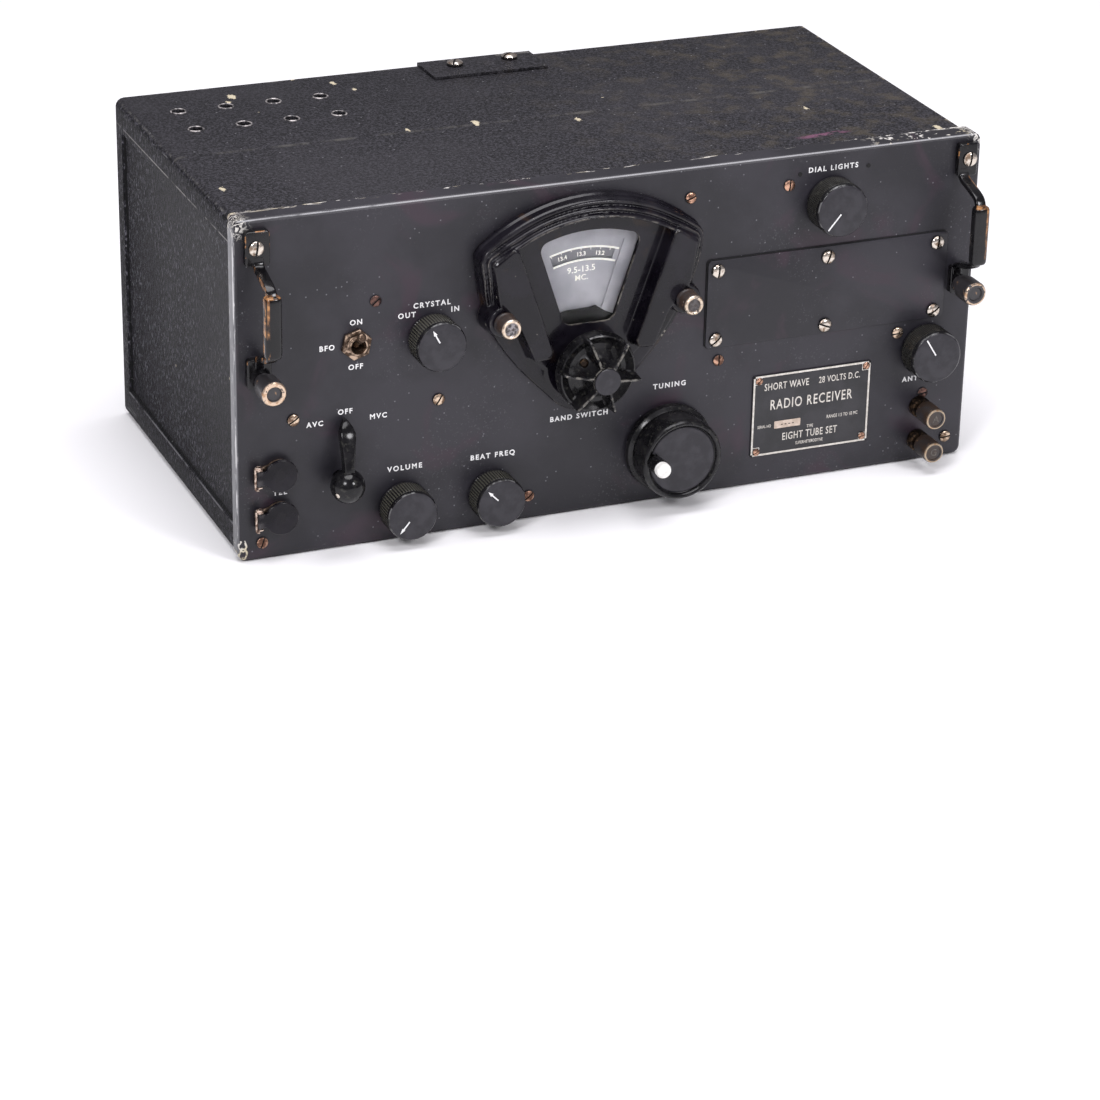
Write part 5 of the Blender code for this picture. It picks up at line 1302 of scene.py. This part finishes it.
def hinge_wire(node, place):
    """Hinge pin in two ears, with the spring's two turns and its leg down the left."""
    spring = bmesh.new()
    turns, steps, loop = 2, 10, 0.0019
    top, low = 0.0072, 0.0056
    coil = []
    for i in range(turns * steps + 1):
        angle = 2 * math.pi * i / steps
        coil.append((PIN_U - loop * math.cos(angle), top + (low - top) * i / (turns * steps),
                     PIN_H + loop * math.sin(angle)))
    wire(spring, coil, 0.00042, (0, 1, 0), 6)
    leg = [(PIN_U - loop, v, PIN_H) for v in (0.0058, -0.0030, -0.0060)]
    hook = [(PIN_U - 0.0013, -0.0069, PIN_H - 0.0002), (PIN_U, -0.0073, PIN_H - 0.0006)]
    wire(spring, leg + hook, 0.00060, (0, 0, 1), 8)
    wire(spring, [(PIN_U, v, PIN_H) for v in (-0.0060, -0.0030, 0.0030, 0.0074)], 0.00075, (1, 0, 0), 12)
    for v in (-0.0053, 0.0052):
        ear = rectangle(PIN_U - 0.0012, v - 0.0004, PIN_U + 0.0018, v + 0.0004, 0.0003)
        prism(spring, ear, 0.0014, PIN_H + 0.0012, 0.0002)
    piece(f"{node}_hinge", spring, place, HINGE_WIRE, "chassis")


def jack_assembly(label):
    """Phone jack with its sprung dust cover; the hinge pin stands at the left."""
    node = f"jack_{label}"
    body = f"jack_flap_{label}"
    pin = AXIS[body]
    pin_height = FACE - [j for j in frame["joints"] if j["child"] == body][0]["pos_m"][1]
    place = panel_frame((pin[0] - PIN_U, pin[1]))
    bm = bmesh.new()
    inner = 0.0033
    turned_ring(bm, [(inner, -0.0240), (0.0046, -0.0240), (0.0046, 0.0008), (0.0072, 0.0008),
                     (0.0072, 0.0032), (0.0069, 0.0037), (0.0060, 0.0040), (inner, 0.0040)], 48)
    obj = new_object(f"{node}_body", bm, place)
    plate = bmesh.new()
    prism(plate, arc(0.0085, -45, 225, 28) + [(-0.0145, -0.0046), (-0.0145, 0.0046)], GAP, 0.0016, 0.0003)
    boolean(obj, plate, "UNION")
    contacts = bmesh.new()
    block(contacts, (-0.0075, -0.0055, -0.0280), (0.0075, 0.0055, -0.0060))
    boolean(obj, contacts, "UNION")
    bore(obj, [(inner, -0.0262), (inner, 0.0060)], 48)
    finish_piece(obj, SWITCH, "chassis", [node], 35)
    hinge_wire(node, place)

    lid = bmesh.new()
    disc = -PIN_U
    outline = arc(0.0098, -63, 243, 44, (disc, 0)) + [(0.0030, -0.0040), (0.0004, -0.0042), (0.0004, 0.0042),
                                                       (0.0030, 0.0040)]
    prism(lid, outline, -0.0007, 0.0013, 0.0006, 3)
    rings = [[(u, v, height) for u, height, _ in circle(0.0012, 16, 0.0)] for v in (-0.0046, 0.0046)]
    loft(lid, rings)
    piece(f"{node}_lid", lid, panel_frame(pin, pin_height), LID, body,
          [f"jack_cover_{label}"], 40)


def binding_post(label):
    """Push post: knurled cap over a fixed stem, a letter in its face."""
    base, cap = f"post_base_{label}", f"post_cap_{label}"
    place = panel_frame(middle(base))
    foot = [(0.0030, depth_behind(base)), (0.0030, GAP), (0.0062, GAP), (0.0064, 0.0010), (0.0064, 0.0050),
            (0.0058, 0.0060), (0.0020, 0.0060), (0.0020, 0.0180)]
    turned_piece(f"post_foot_{label}", foot, 48, place, BRASS, "chassis", [base], 35)
    body = BODY_OF[cap]
    top, low = height_of(cap), depth_behind(cap)
    profile = [(0.0048, low, 0), (0.0058, low + 0.0003, 0), (0.0064, low + 0.0012, 0),
               (0.0065, low + 0.0020, 1), (0.0065, top - 0.0022, 1), (0.0064, top - 0.0012, 0),
               (0.0060, top - 0.0003, 0), (0.0050, top, 0), (0.0044, top - 0.0001, 0),
               (0.0042, top - 0.0007, 0), (0.0015, top - 0.0007, 0)]
    bm = bmesh.new()
    knurled(bm, profile, 96, 0.0002)
    obj = new_object(f"post_head_{label}", bm, place)
    bore(obj, [(0.0024, 0.0080), (0.0024, 0.0210)], 32)
    dark = (0.032, 0.019, 0.012)
    finish = worn_cap(f"post_{label}_finish", 0.0065, 0.0010, top, (0.44, 0.35, 0.25), dark, 0.34)
    finish_piece(obj, finish, body, [cap], 30)
    letter = bmesh.new()
    letters(letter, label.upper(), at(0, 0, top - 0.00065), 0.0062, 1.0, 0.01)
    piece(f"post_letter_{label}", letter, place, DIM, body)


# ---- cabinet ------------------------------------------------------------------------------
def creased_wrap():
    """The CAD's wrap-round sheet with the shallow fold that crosses its top."""
    source = frame["nodes"]["cabinet_wrap"].data
    bm = bmesh.new()
    bm.from_mesh(source)
    bmesh.ops.remove_doubles(bm, verts=bm.verts, dist=1e-6)
    fold = {-0.0060: 0.0, -0.0030: 0.0, -0.0008: -0.00045, 0.0012: 0.00010, 0.0100: 0.0, 0.0130: 0.0}
    for y in fold:
        geometry = list(bm.verts) + list(bm.edges) + list(bm.faces)
        bmesh.ops.bisect_plane(bm, geom=geometry, dist=1e-6, plane_co=(0, y, 0), plane_no=(0, 1, 0))
    flat = WRAP_HIGH.x - 0.005
    for y, lift in fold.items():
        for vert in bm.verts:
            if abs(vert.co.y - y) < 1e-5 and vert.co.z > WRAP_TOP - 0.004 and abs(vert.co.x) < flat + 0.001:
                vert.co.z += lift
    mesh = bpy.data.meshes.new("case_wrap")
    bm.to_mesh(mesh)
    bm.free()
    obj = bpy.data.objects.new("case_wrap", mesh)
    bpy.context.collection.objects.link(obj)
    finish_piece(obj, WRINKLE, "cabinet", ["cabinet_wrap"], 30)


def vent_rims():
    """Burred, rubbed edges of the eight vent holes; their pale specks are partly rubbed paint, partly painted
    glints.
    """
    bm = bmesh.new()
    section = [(0.0040, -0.0004), (0.0040, 0.0003), (0.0044, 0.0006), (0.0049, 0.0003),
               (0.0050, -0.0001), (0.0046, -0.0004)]
    for y in (0.045, 0.079):
        for column in range(4):
            x = -0.1990 + 0.0292 * column
            rings = [circle(r, 32, h, (x, y)) for r, h in section]
            loft(bm, rings, closed=True)
    piece("vent_rims", bm, at(0, 0, WRAP_TOP), RUBBED_AND_GLINTS, "cabinet")


def latch_screws():
    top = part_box("rear_latch_plate")[1].z
    screws("latch_screws", [(-0.0160, 0.1045), (0.0203, 0.1065)], 0.0050, -0.0002, 0.0030, NICKEL_METAL,
           at(0, 0, top - 0.0012), "cabinet", slots=[60, 25])


# ---- plates, screws and lettering ---------------------------------------------------------
FRONT = panel_frame((0, 0))


def cover_plate():
    low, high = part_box("cover_plate")
    outline = rectangle(low.x, low.z, high.x, high.z, 0.0024, 6)
    flat_piece("hatch_plate", outline, GAP, 0.0016, 0.0004, FRONT, PANEL, "chassis",
               ["cover_plate"])
    wide, narrow = 0.0006, 0.0002          # how far the shadow shows at the top left and the low right
    # a dark band round the hatch plate: painted shadow on the panel, wider at the top left
    seam = rectangle(low.x - wide, low.z - narrow, high.x + narrow, high.z + wide, 0.0026, 6)
    flat_piece("hatch_shadow", seam, 0.0002, 0.0007, 0.0, FRONT, DARK, "chassis")
    spots = [(u, v) for u in (0.0613, 0.1315, 0.2027) for v in (0.0970, 0.1395)]
    screws("hatch_screws", spots, 0.0042, 0.0016, 0.0024, NICKEL_METAL, FRONT,
           slots=[40, 86, -22, 72, 30, 82])


def nameplate():
    """Etched plate: a pale border that steps round the screws, and generic wording."""
    low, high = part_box("nameplate")
    half_u, half_v = (high.x - low.x) / 2, (high.z - low.z) / 2
    place = panel_frame(middle("nameplate"))
    field = rectangle(-half_u, -half_v, half_u, half_v, 0.0006, 2)
    flat_piece("name_field", field, GAP, 0.0011, 0.0002, place, PLATE, "chassis",
               ["nameplate"])
    line, notch, rim = 0.0011, 0.0052, 0.0002
    u, v = half_u - rim, half_v - rim
    bars = [(-u, -v, u, -v + line), (-u, v - line, u, v), (-u, -v, -u + line, v), (u - line, -v, u, v)]
    marks = bmesh.new()
    border = bmesh.new()
    for bar in bars:
        prism(border, rectangle(*bar), 0.0010, 0.00125)
    thin = 0.0004
    for side_u in (-1, 1):
        for side_v in (-1, 1):
            inner_u, inner_v = side_u * (u - notch), side_v * (v - notch)
            level = turned_rectangle(((inner_u + side_u * u) / 2, inner_v), notch, thin, 0)
            upright = turned_rectangle((inner_u, (inner_v + side_v * v) / 2), thin, notch, 0)
            for bar in (level, upright):
                prism(border, bar, 0.0010, 0.00122)
    piece("name_border", border, place, PLATE_LIGHT, "chassis")
    height = 0.00112
    rows = [("SHORT WAVE", -0.0165, 0.0176, 0.0050, 1.10), ("28 VOLTS D.C.", 0.0180, 0.0176, 0.0045, 1.10),
            ("RADIO RECEIVER", 0.0000, 0.0058, 0.0071, 1.18), ("SERIAL NO", -0.0300, -0.0072, 0.0021, 1.0),
            ("RANGE 1.5 TO 18 MC", 0.0210, -0.0066, 0.0024, 1.05), ("TYPE", 0.0000, -0.0108, 0.0022, 1.0),
            ("EIGHT TUBE SET", 0.0000, -0.0154, 0.0052, 1.12),
            ("SUPERHETERODYNE", 0.0000, -0.0206, 0.0022, 1.05)]
    for text, text_u, text_v, size, spacing in rows:
        letters(marks, text, at(text_u, text_v, height) @ Matrix.Diagonal((0.86, 1.25, 1.0, 1.0)), size,
                spacing, 0.008)
    piece("name_letters", marks, place, PLATE_LIGHT, "chassis")
    tag = rectangle(-0.0235, -0.0093, -0.0065, -0.0047, 0.0003)
    flat_piece("name_tag", tag, 0.0010, 0.0013, 0.0, place, TAG, "chassis")
    stamp = bmesh.new()
    letters(stamp, "- - - -", at(-0.0150, -0.0068, 0.00135), 0.0040, 1.0, 0.02)
    piece("name_stamp", stamp, place, DARK, "chassis")
    spots = [(-0.0346, 0.0223), (0.0352, 0.0228), (-0.0347, -0.0228), (0.0347, -0.0221)]
    screws("name_screws", spots, 0.0023, 0.0012, 0.0009, COPPER_METAL, place,
           slots=[45, 60, 30, 15])


def panel_screws():
    spots = [(-0.0533, 0.0152), (-0.2146, 0.0110), (0.0430, 0.1855), (0.1049, 0.1857), (0.0643, 0.0834)]
    screws("panel_screws", spots, 0.0034, GAP + 0.0001, 0.0013, COPPER_METAL, FRONT,
           slots=[40, 70, 20, 84, 88])
    spots = [(-0.1091, 0.0834), (-0.1954, 0.0830), (0.1807, 0.0850), (0.2172, 0.0133)]
    screws("pale_screws", spots, 0.0036, GAP + 0.0001, 0.0014, TAN_METAL, FRONT,
           slots=[58, 32, 8, 5])
    spots = [(-0.1467, 0.1476), (0.2002, 0.0440)]
    screws("dark_screws", spots, 0.0034, GAP + 0.0001, 0.0010, DULL_METAL, FRONT,
           slots=[40, 10])
    # dark discs: painted shade inside two small holes
    holes = bmesh.new()
    for spot in ((0.1116, 0.1915), (0.1553, 0.1919)):
        turned(holes, [(0.0013, 0.0001), (0.0013, 0.0003), (0.0009, 0.00032)], 20, spot)
    piece("panel_pips", holes, FRONT, DARK, "chassis")


def panel_lettering():
    """Names and positions of the controls, in white on the panel."""
    size = 0.0043
    words = [("ON", -0.1581, 0.1362, 1.26), ("OFF", -0.1585, 0.1097, 1.26), ("BFO", -0.1753, 0.1230, 1.26),
             ("OUT", -0.1282, 0.1363, 1.32), ("IN", -0.0994, 0.1366, 1.32),
             ("CRYSTAL", -0.1133, 0.1413, 1.34), ("VOLUME", -0.1292, 0.0442, 1.38),
             ("MVC", -0.1451, 0.0782, 1.32), ("AVC", -0.1827, 0.0784, 1.32), ("OFF", -0.1648, 0.0836, 1.26),
             ("BEAT FREQ", -0.0757, 0.0439, 1.34), ("TEL", -0.2036, 0.0400, 1.32),
             ("TUNING", 0.0340, 0.0720, 1.38), ("BAND SWITCH", -0.0226, 0.0607, 1.32),
             ("DIAL LIGHTS", 0.1327, 0.1931, 1.34), ("ANT", 0.1913, 0.0539, 1.32)]
    bm = bmesh.new()
    for text, u, v, spacing in words:
        letters(bm, text, at(u, v, 0.00008), size, spacing, 0.026)
    piece("panel_lettering", bm, FRONT, LETTER, "chassis")


# ---- assembly -----------------------------------------------------------------------------
dial_casting()
dial_pane()
window_frame()
band_mask()
dial_disc()
gear_train()
ribbed_knob("crystal", "crystal_knob", "crystal", 0.0150, -28, True)
ribbed_knob("volume", "volume_knob", "volume", 0.0152, -140, True)
ribbed_knob("beat_freq", "beat_freq_knob", "beat_freq", 0.0150, -45, True)
ribbed_knob("dial_lights", "dial_lights_knob", "dial_lights", 0.0162, -140, False, 44, True)
ribbed_knob("antenna", "antenna_knob", "antenna", 0.0162, -32, False, 44, True)
finned_knob()
tuning_knob()
mode_lever()
for label, grip_u in (("left", -0.2155), ("right", 0.2160)):
    handle(label, grip_u)
    thumb_screw(label)
    lamp_cap(label)
toggle_switch()
for label in ("upper", "lower"):
    jack_assembly(label)
for label in ("a", "g"):
    binding_post(label)
creased_wrap()
vent_rims()
latch_screws()
cover_plate()
nameplate()
panel_screws()
panel_lettering()

LOOKS = {"wrinkle_paint": WRINKLE, "panel_paint": PANEL, "plate_black": PLATE, "cast_black": HOUSING,
         "bakelite": BAKELITE, "worn_brass": BRASS, "nickel": NICKEL, "aluminium": ALUMINIUM,
         "dial_grey": GREY, "glass": GLASS, "tube_metal": TUBE_SHELL, "ivory": IVORY}
OWN_LOOKS = {"output_transformer": CORE}
OWN_LOOKS.update({f"if_can_{i}": CAN for i in (1, 2, 3)})
for node_name, obj in frame["nodes"].items():
    for i, old in enumerate(obj.data.materials):
        obj.data.materials[i] = OWN_LOOKS.get(node_name) or LOOKS[old.name.split(".")[0]]


# ---- stage, light and camera --------------------------------------------------------------
def floor():
    p = Paint("studio_floor", 0.55, Specular_IOR_Level=0.2)
    soft = p.noise(1.3, 2)
    colour = p.mix(soft, (0.93, 0.93, 0.93), (0.96, 0.96, 0.96))
    material = p.done(colour, bump=p.noise(300, 2), depth=0.00005, strength=0.2)
    bm = bmesh.new()
    size, thick = 40.0, 0.02
    block(bm, (-size, -size, -thick), (size, size, 0.0))
    obj = new_object("studio_floor", bm)
    obj.data.materials.append(material)


def area_light(name, azimuth, elevation, distance, size, power, target=(0.0, -0.05, 0.10)):
    """Soft panel light; azimuth 0 is straight in front and positive to the right."""
    light = bpy.data.lights.new(name, "AREA")
    light.shape = "DISK"
    light.size = size
    light.energy = power
    light.color = (0.98, 0.965, 1.0)
    obj = bpy.data.objects.new(name, light)
    bpy.context.collection.objects.link(obj)
    a, e = math.radians(azimuth), math.radians(elevation)
    aim = Vector((math.sin(a) * math.cos(e), -math.cos(a) * math.cos(e), math.sin(e)))
    obj.location = Vector(target) + aim * distance
    obj.rotation_euler = aim.to_track_quat("Z", "Y").to_euler()


def studio():
    world = bpy.data.worlds.new("studio")
    bpy.context.scene.world = world
    world.use_nodes = True
    background = world.node_tree.nodes["Background"]
    background.inputs["Color"].default_value = (0.95, 0.93, 1.0, 1.0)
    background.inputs["Strength"].default_value = 0.32
    area_light("soft_left", -45, 36, 2.6, 0.7, 30)
    area_light("soft_right", 24, 32, 2.6, 0.7, 25)
    area_light("overhead", 0, 80, 2.4, 2.0, 58, (0.0, 0.35, 0.10))
    bpy.context.scene.view_settings.view_transform = "Standard"


def camera():
    """The photograph's view: azimuth, elevation and roll about a point under the receiver."""
    azimuth, elevation, roll = -0.39824, 0.43696, 0.02078
    target, distance = Vector((0.00949, 0.0, -0.0801)), 2.3053
    back = Vector((math.sin(azimuth) * math.cos(elevation), -math.cos(azimuth) * math.cos(elevation),
                   math.sin(elevation)))
    level = Vector((0, 0, 1)).cross(back).normalized()
    above = back.cross(level)
    right = level * math.cos(roll) + above * math.sin(roll)
    up = above * math.cos(roll) - level * math.sin(roll)
    data = bpy.data.cameras.new("camera")
    data.lens = 121.78
    data.sensor_width = 36
    obj = bpy.data.objects.new("camera", data)
    bpy.context.collection.objects.link(obj)
    turn = Matrix((right, up, back)).transposed().to_4x4()
    obj.matrix_world = Matrix.Translation(target + back * distance) @ turn
    bpy.context.scene.camera = obj


floor()
studio()
camera()
